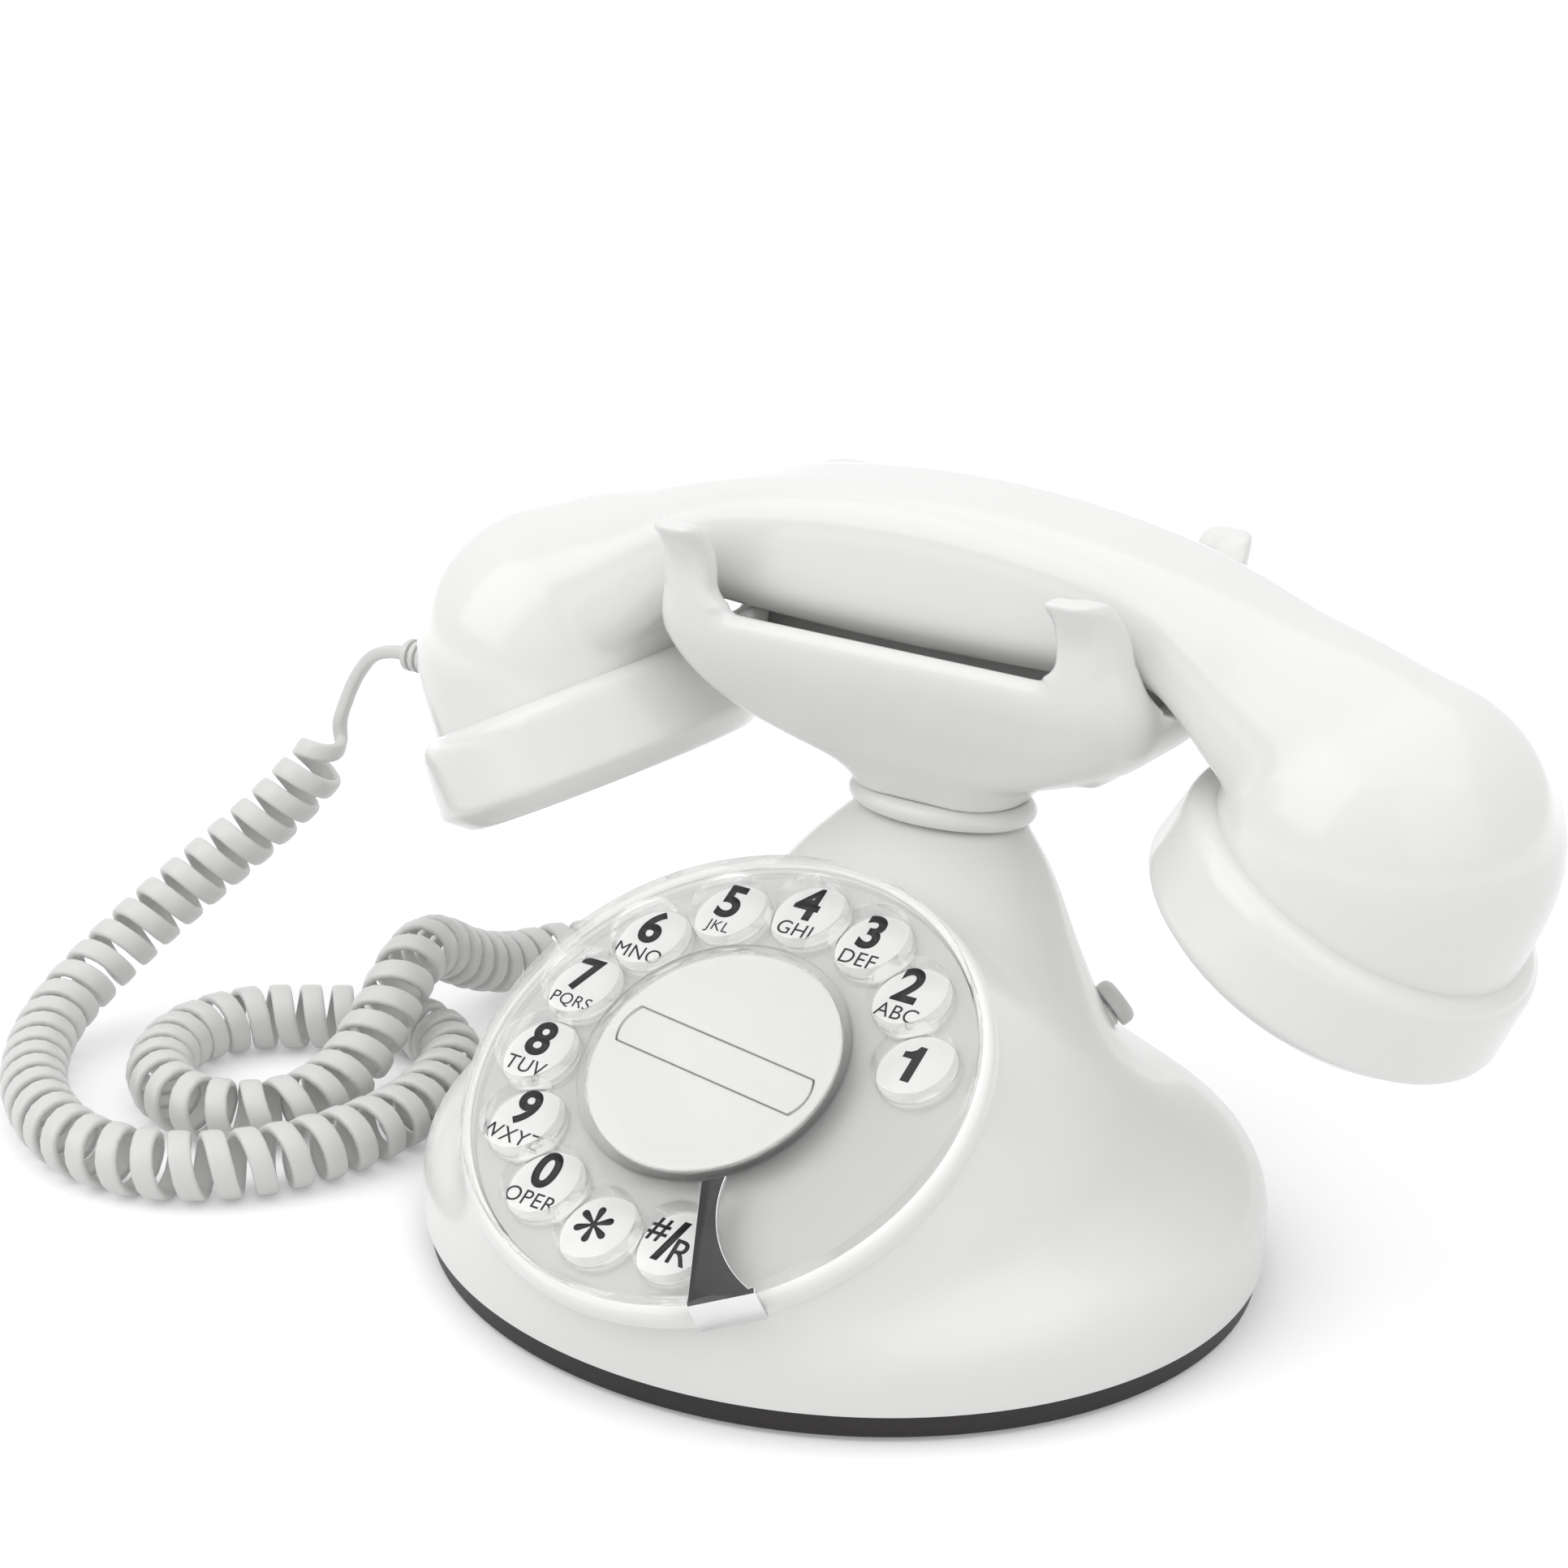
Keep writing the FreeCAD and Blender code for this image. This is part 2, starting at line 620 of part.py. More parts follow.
# Cradle: a boat-shaped yoke on an oval spigot, with a prong at each corner.
def rounded_rectangle(half_x, half_y, corner, z):
    centre_y = size("neck_y")
    turn = corner * (1 - math.sqrt(0.5))
    edges = []
    for sx, sy in ((1, -1), (1, 1), (-1, 1), (-1, -1)):
        along_x = V(sx * half_x, centre_y + sy * (half_y - corner), z)
        along_y = V(sx * (half_x - corner), centre_y + sy * half_y, z)
        middle = V(sx * (half_x - turn), centre_y + sy * (half_y - turn), z)
        first, last = (along_y, along_x) if sx * sy < 0 else (along_x, along_y)
        if edges:
            edges.append(Part.makeLine(edges[-1].lastVertex().Point, first))
        edges.append(Part.Arc(first, middle, last).toShape())
    edges.append(Part.makeLine(edges[-1].lastVertex().Point, edges[0].firstVertex().Point))
    return Part.Wire(edges)


STEM_LOW = size("neck_high") + size("ring_bulge") * 2
RIM_RISE = size("cradle_rim") - STEM_LOW
HULL_CORNER = 0.92


def hull_section(name, half_x, half_y, corner, z):
    return shape_piece(name, rounded_rectangle(half_x, half_y, corner, z))


hull_sections = []
for number, (rise, length, depth) in enumerate(HULL):
    half_y = depth * size("cradle_depth")
    corner = half_y * HULL_CORNER * (1 - rise) + 6 * rise
    z = STEM_LOW + rise * RIM_RISE
    hull_sections.append(hull_section(f"hull_{number}", length * size("cradle_length"), half_y, corner, z))
PRONG_RISE = size("prong_high") - size("cradle_rim")
for number, (rise, lean) in enumerate(((0.55, 0.12), (1.0, 1.0))):
    half_x = size("cradle_length") - lean * 1.5
    half_y = size("cradle_depth") + lean * size("prong_flare")
    z = size("cradle_rim") + rise * PRONG_RISE
    hull_sections.append(hull_section(f"prong_{number}", half_x, half_y, 5, z))
hull_outer = loft("hull_outer", hull_sections)
TROUGH_FLOOR = STEM_LOW + 0.42 * RIM_RISE
trough_sections = []
TROUGH = ((0.0, 0.60, 0.52), (0.3, 0.84, 0.74), (0.62, 0.97, 0.93), (1.0, 1.0, 1.0))
for number, (rise, length, depth) in enumerate(TROUGH):
    half_x = length * (size("cradle_length") - size("cradle_wall"))
    half_y = depth * (size("cradle_depth") - size("cradle_wall"))
    z = TROUGH_FLOOR + rise * (size("cradle_rim") - TROUGH_FLOOR)
    trough_sections.append(hull_section(f"trough_{number}", half_x, half_y, 5, z))
half_x = size("cradle_length") - size("cradle_wall") - 1
half_y = size("cradle_depth") - size("cradle_wall") + size("prong_flare") * 0.8
trough_sections.append(hull_section("trough_top", half_x, half_y, 5, size("prong_high") + 0.5))
trough = loft("trough", trough_sections)
side_gap = middle_box(
    "side_gap",
    "(cradle_length - prong_w) * 2",
    "cradle_depth * 4",
    "prong_high",
    "0",
    "neck_y",
    "cradle_rim",
)
side_gap_soft = rounded(
    "side_gap_soft",
    side_gap,
    4.0,
    lambda edge: edge.BoundBox.YLength > 20 and edge.BoundBox.ZMax < size("cradle_rim") + 1,
)


def notch_wire():
    """End notch seen along X: a round bottom that opens upwards between the prongs."""
    y = size("neck_y")
    low = size("notch_low")
    rim = size("cradle_rim")
    tip = size("prong_high") + 1
    rim_half = size("cradle_depth") - 9.2
    tip_half = size("cradle_depth") - 3.4
    left = [V(0, y - tip_half, tip), V(0, y - rim_half, rim)]
    right = [V(0, y + rim_half, rim), V(0, y + tip_half, tip)]
    bottom = Part.Arc(left[1], V(0, y, low), right[0]).toShape()
    return Part.Wire([Part.makeLine(*left), bottom, Part.makeLine(*right), Part.makeLine(right[1], left[0])])


notch_long = size("cradle_length") * 2 + 20
notch_face = Part.Face(notch_wire())
notch_face.translate(V(-notch_long / 2, 0, 0))
notch = shape_piece("end_notch", notch_face.extrude(V(notch_long, 0, 0)))
spigot = oval_slab(
    "spigot",
    "socket_rx",
    "socket_ry",
    "socket_deep + ring_bulge * 2 + 1",
    ("0", "neck_y", "neck_high - socket_deep"),
)
RIB_X = "(hook_half - 4)"
RIB_TOP = "handle_low + 0.35"
ribs = [
    middle_box(
        f"saddle_rib_{sx}_{sy}",
        "3",
        "6",
        RIB_TOP + f" - {TROUGH_FLOOR} + 2",
        f"{sx} * {RIB_X}",
        f"neck_y + {sy} * 8.5",
        f"{TROUGH_FLOOR} - 2",
    )
    for sx in (-1, 1)
    for sy in (-1, 1)
]
hull_open = cut("hull_open", hull_outer, trough, side_gap_soft, notch)
cradle_rod_hole = cylinder("cradle_rod_hole", "rod_r + run_gap", "prong_high", ("0", "neck_y", "plate_high"))
cradle_screw_holes = [
    cylinder(
        f"cradle_screw_hole_{side}",
        "screw_r * 0.85 + run_gap",
        "6.5",
        (f"{side} * {CRADLE_SCREW_X}", "neck_y", "neck_high - socket_deep"),
    )
    for side in (-1, 1)
]
cradle_body = fuse("cradle_body", hull_open, spigot, *ribs)
node("cradle", cut("cradle", cradle_body, cradle_rod_hole, *cradle_screw_holes))
cradle_screws = [
    screw(
        f"cradle_screw_{side}",
        f"{side} * {CRADLE_SCREW_X}",
        "neck_y",
        "neck_high - socket_deep - neck_floor - screw_head_high",
        "neck_floor + 6",
        "screw_r * 0.85",
        "screw_head_r * 0.85",
    )
    for side in (-1, 1)
]
node("cradle_screws", group("cradle_screws", cradle_screws))

# Hook bar and its rod: lies in the trough under the handle, on a spring, and works the hook switch.
BOARD_TOP = "plate_high + post_high + board_thick"
HOOK_TOP = "handle_low - free_gap"
HOOK_LOW = HOOK_TOP + " - hook_thick"
hook_beam = middle_box("hook_beam", "hook_half * 2", "hook_w", "hook_thick", "0", "neck_y", HOOK_LOW)
hook_beam_soft = rounded(
    "hook_beam_soft",
    hook_beam,
    1.2,
    lambda edge: edge.BoundBox.ZMin > size("handle_low") - 1,
)
ROD_LOW = BOARD_TOP + " + switch_high + 2.4"
rod = cylinder("rod", "rod_r", f"{HOOK_TOP} - 1 - ({ROD_LOW})", ("0", "neck_y", ROD_LOW))
node("hook_bar", fuse("hook_bar", hook_beam_soft, rod))
switch_box = middle_box("switch_box", "12", "7", "switch_high", "0", "neck_y", BOARD_TOP)
SWITCH_TOP = BOARD_TOP + " + switch_high"
switch_button = cylinder("switch_button", "rod_r * 0.8", "2.2", ("0", "neck_y", SWITCH_TOP))
node("hook_switch", fuse("hook_switch", switch_box, switch_button))

# Circuit board on the plate's posts, its screws, the ringer and the line jack.
board = middle_box("board", "board_w", "board_d", "board_thick", "0", "board_y", "plate_high + post_high")
board_holes = [
    cylinder(
        "board_hole_" + corner,
        "screw_r + slip",
        "board_thick",
        (f"{sx} * {POST_X}", f"board_y + {sy} * {POST_Y}", "plate_high + post_high"),
    )
    for corner, sx, sy in CORNERS
]
jack_room = middle_box(
    "jack_room",
    "jack_w + 1",
    "jack_deep * 2",
    "board_thick",
    "0",
    "plate_ry",
    "plate_high + post_high",
)
node("circuit_board", cut("circuit_board", board, *board_holes, jack_room))


def board_screw(corner, sx, sy):
    x = f"{sx} * {POST_X}"
    y = f"board_y + {sy} * {POST_Y}"
    stem = cylinder(
        "board_screw_stem_" + corner,
        "screw_r - run_gap * 2",
        "board_thick + 5",
        (x, y, "plate_high + post_high - 5"),
    )
    cap = cylinder("board_screw_cap_" + corner, "screw_head_r", "screw_head_high", (x, y, BOARD_TOP))
    return fuse("board_screw_" + corner, stem, cap)


node("board_screws", group("board_screws", [board_screw(*corner) for corner in CORNERS]))
RINGER_X = "28"
ringer_can = cylinder("ringer_can", "11", "7", (RINGER_X, "board_y - 2", BOARD_TOP))
ringer_mouth = cylinder("ringer_mouth", "2.5", "3", (RINGER_X, "board_y - 2", BOARD_TOP + " + 4"))
node("ringer", cut("ringer", ringer_can, ringer_mouth))
jack_block = middle_box(
    "jack_block",
    "jack_w",
    "jack_deep",
    "jack_high",
    "0",
    JACK_Y + " + jack_deep / 2",
    "plate_high",
)
jack_slot = middle_box(
    "jack_slot",
    "jack_w - 4",
    "jack_deep * 2 - 6",
    "jack_high - 4",
    "0",
    JACK_Y + " + jack_deep + 1",
    "plate_high + 2",
)
node("line_jack", cut("line_jack", jack_block, jack_slot))

# Dial bezel, number plate and frame, all fixed to the shell and drawn along the dial axis.
BEZEL_TOP = "-wheel_thick - free_gap - 0.1"
PLATE_LOW = "-plate_drop - number_plate_thick"
BEZEL_HIGH = "bezel_seat - wheel_thick - free_gap - 0.1"
bezel_solid = cylinder("bezel_solid", "bezel_r", BEZEL_HIGH, ("0", "0", "-bezel_seat"))
bezel_soft = rounded(
    "bezel_soft",
    bezel_solid,
    1.6,
    lambda edge: edge.BoundBox.ZMin > -size("bezel_seat") + 1,
)
bezel_recess = cylinder("bezel_recess", "number_plate_r + slip", "bezel_seat", ("0", "0", PLATE_LOW))
bezel_bore = cylinder("bezel_bore", "dial_hole_r + 1", "bezel_seat * 2", ("0", "0", "-bezel_seat * 1.5"))
node("dial_bezel", on_dial(cut("dial_bezel", bezel_soft, bezel_recess, bezel_bore)))
number_disc = cylinder("number_disc", "number_plate_r", "number_plate_thick", ("0", "0", PLATE_LOW))
number_bore = cylinder("number_bore", "shaft_r + 3", "number_plate_thick", ("0", "0", PLATE_LOW))
node("number_plate", on_dial(cut("number_plate", number_disc, number_bore)))
FRAME_R = "(dial_hole_r - free_gap)"
FRAME_LOW = "-frame_drop - frame_thick"
GOVERNOR_ARM = f"gear_module * {(GEAR_TEETH + PINION_TEETH) / 2}"
BUSH_R = "(shaft_r + 2)"
SPRING_POST = "(gear_module * 22)"
frame_disc = cylinder("frame_disc", FRAME_R, "frame_thick", ("0", "0", FRAME_LOW))
frame_tube = cylinder("frame_tube", FRAME_R, f"frame_drop + ({PLATE_LOW})", ("0", "0", "-frame_drop"))
frame_room = cylinder("frame_room", FRAME_R + " - 2", "frame_drop", ("0", "0", "-frame_drop"))
frame_wall = cut("frame_wall", frame_tube, frame_room)
pivot_boss = cylinder("pivot_boss", "4", "4", ("0", GOVERNOR_ARM, "-frame_drop"))
spring_post = cylinder("spring_post", "1.2", "9", (SPRING_POST, "0", FRAME_LOW + " - 9"))
frame_bore = cylinder("frame_bore", BUSH_R, "frame_thick", ("0", "0", FRAME_LOW))
pivot_bore = cylinder("pivot_bore", "1.5 + run_gap", "6", ("0", GOVERNOR_ARM, FRAME_LOW))
frame_body = fuse("frame_body", frame_disc, frame_wall, pivot_boss, spring_post)
node("dial_frame", on_dial(cut("dial_frame", frame_body, frame_bore, pivot_bore)))
bush_tube = cylinder("bush_tube", BUSH_R, "frame_thick + 4", ("0", "0", FRAME_LOW))
bush_flange = cylinder("bush_flange", BUSH_R + " + 1.5", "1", ("0", "0", "-frame_drop"))
bush_bore = cylinder("bush_bore", "shaft_r + run_gap", "12", ("0", "0", FRAME_LOW + " - 2"))
node("dial_bush", on_dial(cut("dial_bush", fuse("bush_body", bush_tube, bush_flange), bush_bore)))
contact_block = middle_box("contact_block", "8", "10", "6", "-27", "0", FRAME_LOW + " - 6")
node("dial_contacts", on_dial(group("dial_contacts", [contact_block])))


# Finger stop: a bent blade over the wheel, strapped to the bezel's edge.
def stop_blade():
    reach = size("wheel_r") - size("stop_long")
    rim = size("bezel_r") + size("free_gap")
    half = size("stop_w") / 2
    low = size("free_gap") + 0.2
    thick = size("stop_thick")
    tip_right = V(reach, 1.6, low)
    root_right = V(rim + thick, half, low)
    waist = V(reach + 0.62 * (rim - reach), 0.4, low)
    root_left = V(rim + thick, -half, low)
    tip_left = V(reach, -2.4, low)
    outline = Part.Wire(
        [
            Part.Arc(tip_right, waist, root_right).toShape(),
            Part.makeLine(root_right, root_left),
            Part.makeLine(root_left, tip_left),
            Part.makeLine(tip_left, tip_right),
        ]
    )
    blade = Part.Face(outline).extrude(V(0, 0, thick))
    strap_low = -size("bezel_seat") + 1.5
    strap = Part.makeBox(thick, half * 2, low + thick - strap_low, V(rim, -half, strap_low))
    stop = blade.fuse(strap).removeSplitter()
    stop.rotate(V(), V(0, 0, 1), size("stop_angle"))
    return stop


node("finger_stop", on_dial(group("finger_stop", [shape_piece("stop_blade", stop_blade())])))

# Finger wheel: clear disc with finger holes, a ring round the card and a recess for the hub screw.
wheel_disc = cylinder("wheel_disc", "wheel_r", "wheel_thick", ("0", "0", "-wheel_thick"))
wheel_soft = rounded("wheel_soft", wheel_disc, 0.8, lambda edge: edge.BoundBox.ZMin > -0.1)
card_ring = cylinder("card_ring", "card_r + 1.6", "ring_thick", ("0", "0", "0"))
card_room = cylinder("card_room", "card_r + slip", "ring_thick", ("0", "0", "0"))
card_wall = cut("card_wall", card_ring, card_room)
finger_holes = [
    cylinder(
        f"finger_hole_{number}",
        "hole_r",
        "wheel_thick",
        (
            f"hole_ring * cos((hole_first + {number} * hole_step) * 1deg)",
            f"hole_ring * sin((hole_first + {number} * hole_step) * 1deg)",
            "-wheel_thick",
        ),
    )
    for number in range(FINGER_HOLES)
]
wheel_bore = cylinder("wheel_bore", "shaft_r", "wheel_thick", ("0", "0", "-wheel_thick"))
HUB_SCREW_R = "shaft_r + 2"
HUB_SINK = "screw_head_high"
hub_sink = cylinder("hub_sink", HUB_SCREW_R + " + slip", HUB_SINK, ("0", "0", f"-({HUB_SINK})"))
wheel_body = fuse("wheel_body", wheel_soft, card_wall)
node("finger_wheel", on_dial(cut("finger_wheel", wheel_body, *finger_holes, wheel_bore, hub_sink)))
card_disc = cylinder("card_disc", "card_r", "card_thick", ("0", "0", "0"))
node("number_card", on_dial(group("number_card", [card_disc])))
window_disc = cylinder("window_disc", "card_r", "window_thick", ("0", "0", "card_thick"))
window_soft = rounded(
    "window_soft",
    window_disc,
    0.4,
    lambda edge: edge.BoundBox.ZMin > size("card_thick") + 0.1,
)
node("card_window", on_dial(group("card_window", [window_soft])))

# Dial shaft, hub screw, gear and return spring.
SHAFT_LOW = FRAME_LOW + " - 10"
shaft_rod = cylinder("shaft_rod", "shaft_r - 0.01", f"-({HUB_SINK}) - ({SHAFT_LOW})", ("0", "0", SHAFT_LOW))
shaft_tap = cylinder("shaft_tap", "screw_r + run_gap", "8", ("0", "0", f"-({HUB_SINK}) - 8"))
node("dial_shaft", on_dial(cut("dial_shaft", shaft_rod, shaft_tap)))
hub_head = cylinder("hub_head", HUB_SCREW_R, f"{HUB_SINK} - 0.1", ("0", "0", f"-({HUB_SINK})"))
hub_stem = cylinder("hub_stem", "screw_r", "7", ("0", "0", f"-({HUB_SINK}) - 7"))
node("hub_screw", on_dial(fuse("hub_screw", hub_head, hub_stem)))
INVOLUTE_STEPS = 5
ADDENDUM = 0.8
DEDENDUM = 1.1
BACKLASH = 0.22


def involute(angle):
    return math.tan(angle) - angle


def gear_solid(teeth, thick, z):
    module = size("gear_module")
    pitch_r = module * teeth / 2
    base_r = pitch_r * math.cos(PRESSURE_ANGLE)
    tip_r = pitch_r + ADDENDUM * module
    root_r = pitch_r - DEDENDUM * module
    start_r = max(base_r, root_r)
    half_tooth = math.pi / (2 * teeth) - BACKLASH * module / (2 * pitch_r)
    flank = []
    for step in range(INVOLUTE_STEPS + 1):
        radius = start_r + (tip_r - start_r) * step / INVOLUTE_STEPS
        roll = math.acos(min(1.0, base_r / radius))
        flank.append((radius, half_tooth + involute(PRESSURE_ANGLE) - involute(roll)))
    flank.insert(0, (root_r, flank[0][1] + 0.01))
    points = []
    for tooth in range(teeth):
        middle = TURN * tooth / teeth
        points += [(radius, middle - spread) for radius, spread in flank]
        points += [(radius, middle + spread) for radius, spread in reversed(flank)]
    corners = [V(radius * math.cos(angle), radius * math.sin(angle), z) for radius, angle in points]
    return Part.Face(Part.makePolygon(corners + corners[:1])).extrude(V(0, 0, thick))


GEAR_LOW = size("frame_drop") + size("frame_thick") + size("free_gap") + size("gear_thick")
gear_shape = gear_solid(GEAR_TEETH, size("gear_thick"), -GEAR_LOW)
gear_bore = Part.makeCylinder(size("shaft_r"), size("gear_thick"), V(0, 0, -GEAR_LOW))
node("dial_gear", on_dial(group("dial_gear", [shape_piece("gear_teeth", gear_shape.cut(gear_bore))])))


# Governor: pinion in mesh with the dial gear, on its own spindle with a round rotor beside the spring.
ROTOR_R = 5.4


def governor_shapes():
    arm = V(0, size("gear_module") * (GEAR_TEETH + PINION_TEETH) / 2, 0)
    pinion = gear_solid(PINION_TEETH, size("gear_thick"), -GEAR_LOW)
    spindle_low = -GEAR_LOW - 5
    spindle = Part.makeCylinder(1.5, -size("frame_drop") + 3 - spindle_low, V(0, 0, spindle_low))
    pinion = pinion.fuse(spindle)
    # A tooth of the gear points up the slope at the pinion, so the pinion shows it a gap.
    tooth_at = 90 % (360 / GEAR_TEETH)
    pinion.rotate(V(), V(0, 0, 1), 270 + 180 / PINION_TEETH - tooth_at)
    rotor = Part.makeCylinder(ROTOR_R, 4, V(0, 0, spindle_low))
    rotor = rotor.cut(Part.makeCylinder(1.5, 4, V(0, 0, spindle_low)))
    for shape in (pinion, rotor):
        shape.translate(arm)
    return pinion, rotor


PINION_SHAPE, ROTOR_SHAPE = governor_shapes()
node("governor_pinion", on_dial(group("governor_pinion", [shape_piece("pinion_solid", PINION_SHAPE)])))
node("governor_rotor", on_dial(group("governor_rotor", [shape_piece("rotor_solid", ROTOR_SHAPE)])))


# Tubes: a path of arcs through points of a curve, two arcs from each point to the next.
def arc_or_line(first, corner, last):
    chord = last - first
    middle = (first + last) * 0.5
    rise = corner - middle
    half = chord.Length / 2
    if rise.Length < 1e-4 * half:
        return Part.makeLine(first, last)
    bend = math.atan2(rise.Length, half)
    top = middle + rise.normalize() * (half * math.tan(bend / 2))
    return Part.Arc(first, top, last).toShape()


def biarc(first, first_way, last, last_way):
    step = last - first
    both = first_way + last_way
    spread = 2 * (1 - first_way.dot(last_way))
    lean = step.dot(both)
    if spread < 1e-9:
        reach = step.dot(step) / (2 * lean)
    else:
        reach = (math.sqrt(lean * lean + spread * step.dot(step)) - lean) / spread
    near = first + first_way * reach
    far = last - last_way * reach
    joint = (near + far) * 0.5
    return [arc_or_line(first, near, joint), arc_or_line(joint, far, last)]


def tube(points, ways, radius):
    edges = []
    for (first, first_way), (last, last_way) in zip(zip(points, ways), zip(points[1:], ways[1:])):
        edges += biarc(first, first_way, last, last_way)
    path = Part.Wire(edges)
    profile = Part.Wire(Part.makeCircle(radius, points[0], ways[0]))
    solid = path.makePipeShell([profile], True, False)
    expected = math.pi * radius**2 * path.Length
    share = solid.Volume / expected
    print(f"tube: length {path.Length:.1f} mm, volume over section times length {share:.4f}")
    return solid, path


# Return spring: a flat spiral from the shaft out to the frame's post.
SPRING_TURNS = 4.5
SPRING_WIRE = 0.5


def spring_curve(share):
    inner = size("shaft_r") + SPRING_WIRE + 0.5
    outer = size("gear_module") * 22 - 1.2 - SPRING_WIRE - 0.2
    radius = inner + (outer - inner) * share
    angle = TURN * SPRING_TURNS * (share - 1)
    return V(radius * math.cos(angle), radius * math.sin(angle), -GEAR_LOW - 3)


def sampled(curve, count):
    step = 1e-4
    points = [curve(number / count) for number in range(count + 1)]
    shares = [number / count for number in range(count + 1)]
    ways = [(curve(share + step) - curve(share - step)).normalize() for share in shares]
    return points, ways


spring_points, spring_ways = sampled(spring_curve, int(SPRING_TURNS * 4))
spring_solid = tube(spring_points, spring_ways, SPRING_WIRE)[0]
node("return_spring", on_dial(group("return_spring", [shape_piece("return_spring_wire", spring_solid)])))

# Hook spring: a coil round the rod between the trough's floor and the hook bar.
HOOK_COILS = 5
HOOK_WIRE = 0.5
HOOK_COIL_LOW = TROUGH_FLOOR + HOOK_WIRE + 0.1
HOOK_COIL_HIGH = size("handle_low") - size("free_gap") - size("hook_thick") - HOOK_WIRE - 0.1


def hook_coil(share):
    angle = TURN * HOOK_COILS * share
    radius = size("rod_r") + HOOK_WIRE + 0.5
    z = HOOK_COIL_LOW + (HOOK_COIL_HIGH - HOOK_COIL_LOW) * share
    return V(radius * math.cos(angle), size("neck_y") + radius * math.sin(angle), z)


hook_points, hook_ways = sampled(hook_coil, HOOK_COILS * 4)
node("hook_spring", shape_piece("hook_spring", tube(hook_points, hook_ways, HOOK_WIRE)[0]))


# Handset shell: an arched handle and two domed cups in one hollow moulding.
def handle_outline(inset):
    """Side view of the handle: arched top, straight shoulders, belly below and hooked ends."""
    top = size("handle_top") - inset
    low = size("handle_low") + inset
    arch = size("handle_arch") - inset
    shoulder_x = size("handle_arch") * 0.32
    slope = math.asin(shoulder_x / size("handle_arch"))
    shoulder = V(arch * math.sin(slope), 0, top - arch * (1 - math.cos(slope)))
    end = shoulder + V(math.cos(slope), 0, -math.sin(slope)) * (27 - inset)
    belly_x = 43 - inset * 0.4
    belly = V(belly_x, 0, low + size("handle_belly") - math.sqrt(size("handle_belly") ** 2 - belly_x**2))
    knee = V(49 + inset, 0, belly.z - 1.6)
    heel = V(61 + inset, 0, 88.5)
    inner = V(end.x - 4, 0, 85.5)

    def mirror(point):
        return V(-point.x, 0, point.z)

    return Part.Wire(
        [
            Part.Arc(mirror(shoulder), V(0, 0, top), shoulder).toShape(),
            Part.makeLine(shoulder, end),
            Part.makeLine(end, inner),
            Part.makeLine(inner, heel),
            Part.makeLine(heel, knee),
            Part.makeLine(knee, belly),
            Part.Arc(belly, V(0, 0, low), mirror(belly)).toShape(),
            Part.makeLine(mirror(belly), mirror(knee)),
            Part.makeLine(mirror(knee), mirror(heel)),
            Part.makeLine(mirror(heel), mirror(inner)),
            Part.makeLine(mirror(inner), mirror(end)),
            Part.makeLine(mirror(end), mirror(shoulder)),
        ]
    )


def handle_bar(name, inset, width):
    face = Part.Face(handle_outline(inset))
    face.translate(V(0, size("handset_y") - width / 2, 0))
    return shape_piece(name, face.extrude(V(0, width, 0)))


def handle_top_at(x):
    """Height of the handle's top over a place along it."""
    shoulder_x = size("handle_arch") * 0.32
    near = min(abs(x), shoulder_x)
    drop = size("handle_arch") - math.sqrt(size("handle_arch") ** 2 - near**2)
    return size("handle_top") - drop - max(abs(x) - shoulder_x, 0) * math.tan(math.asin(0.32))


HANDLE_HIGH = size("handle_top") - size("handle_low")
HANDLE_LEAST = handle_top_at(49) - size("handle_low")


def near_top(edge):
    middle = edge.valueAt((edge.FirstParameter + edge.LastParameter) / 2)
    return middle.z > handle_top_at(middle.x) - HANDLE_HIGH / 4


def upper_edge(edge):
    return edge.BoundBox.YLength < 0.01 and near_top(edge)


def lower_edge(edge):
    middle = edge.valueAt((edge.FirstParameter + edge.LastParameter) / 2)
    return edge.BoundBox.YLength < 0.01 and abs(middle.x) < 56 and not near_top(edge)


handle = handle_bar("handle", 0, size("handle_w"))
upper_round = min(size("handle_round"), HANDLE_LEAST * 0.5)
lower_round = min(size("handle_base_round"), HANDLE_LEAST * 0.4)
handle_soft = rounded("handle_soft", handle, upper_round, upper_edge)
handle_smooth = rounded("handle_smooth", handle_soft, lower_round, lower_edge)
HOLLOW_W = size("handle_w") - 4 * size("handset_wall")
handle_hollow = handle_bar("handle_hollow", size("handset_wall") + 1, HOLLOW_W)


def cup_solid(name, inset):
    dome = cylinder(name + "_drum", f"cup_r - {inset}", f"cup_high + 6 - {inset}", ("0", "0", "-6"))
    crown = size("cup_high") / 2
    radius = size("cup_round") - inset
    return rounded(name, dome, radius, lambda edge: edge.BoundBox.ZMin > crown)


def both_sides(piece):
    """The left piece and its mirror image on the right."""
    twin = doc.addObject("Part::Mirroring", piece.Name + "_twin")
    twin.Source = piece
    twin.Normal = V(1, 0, 0)
    return [piece, twin]


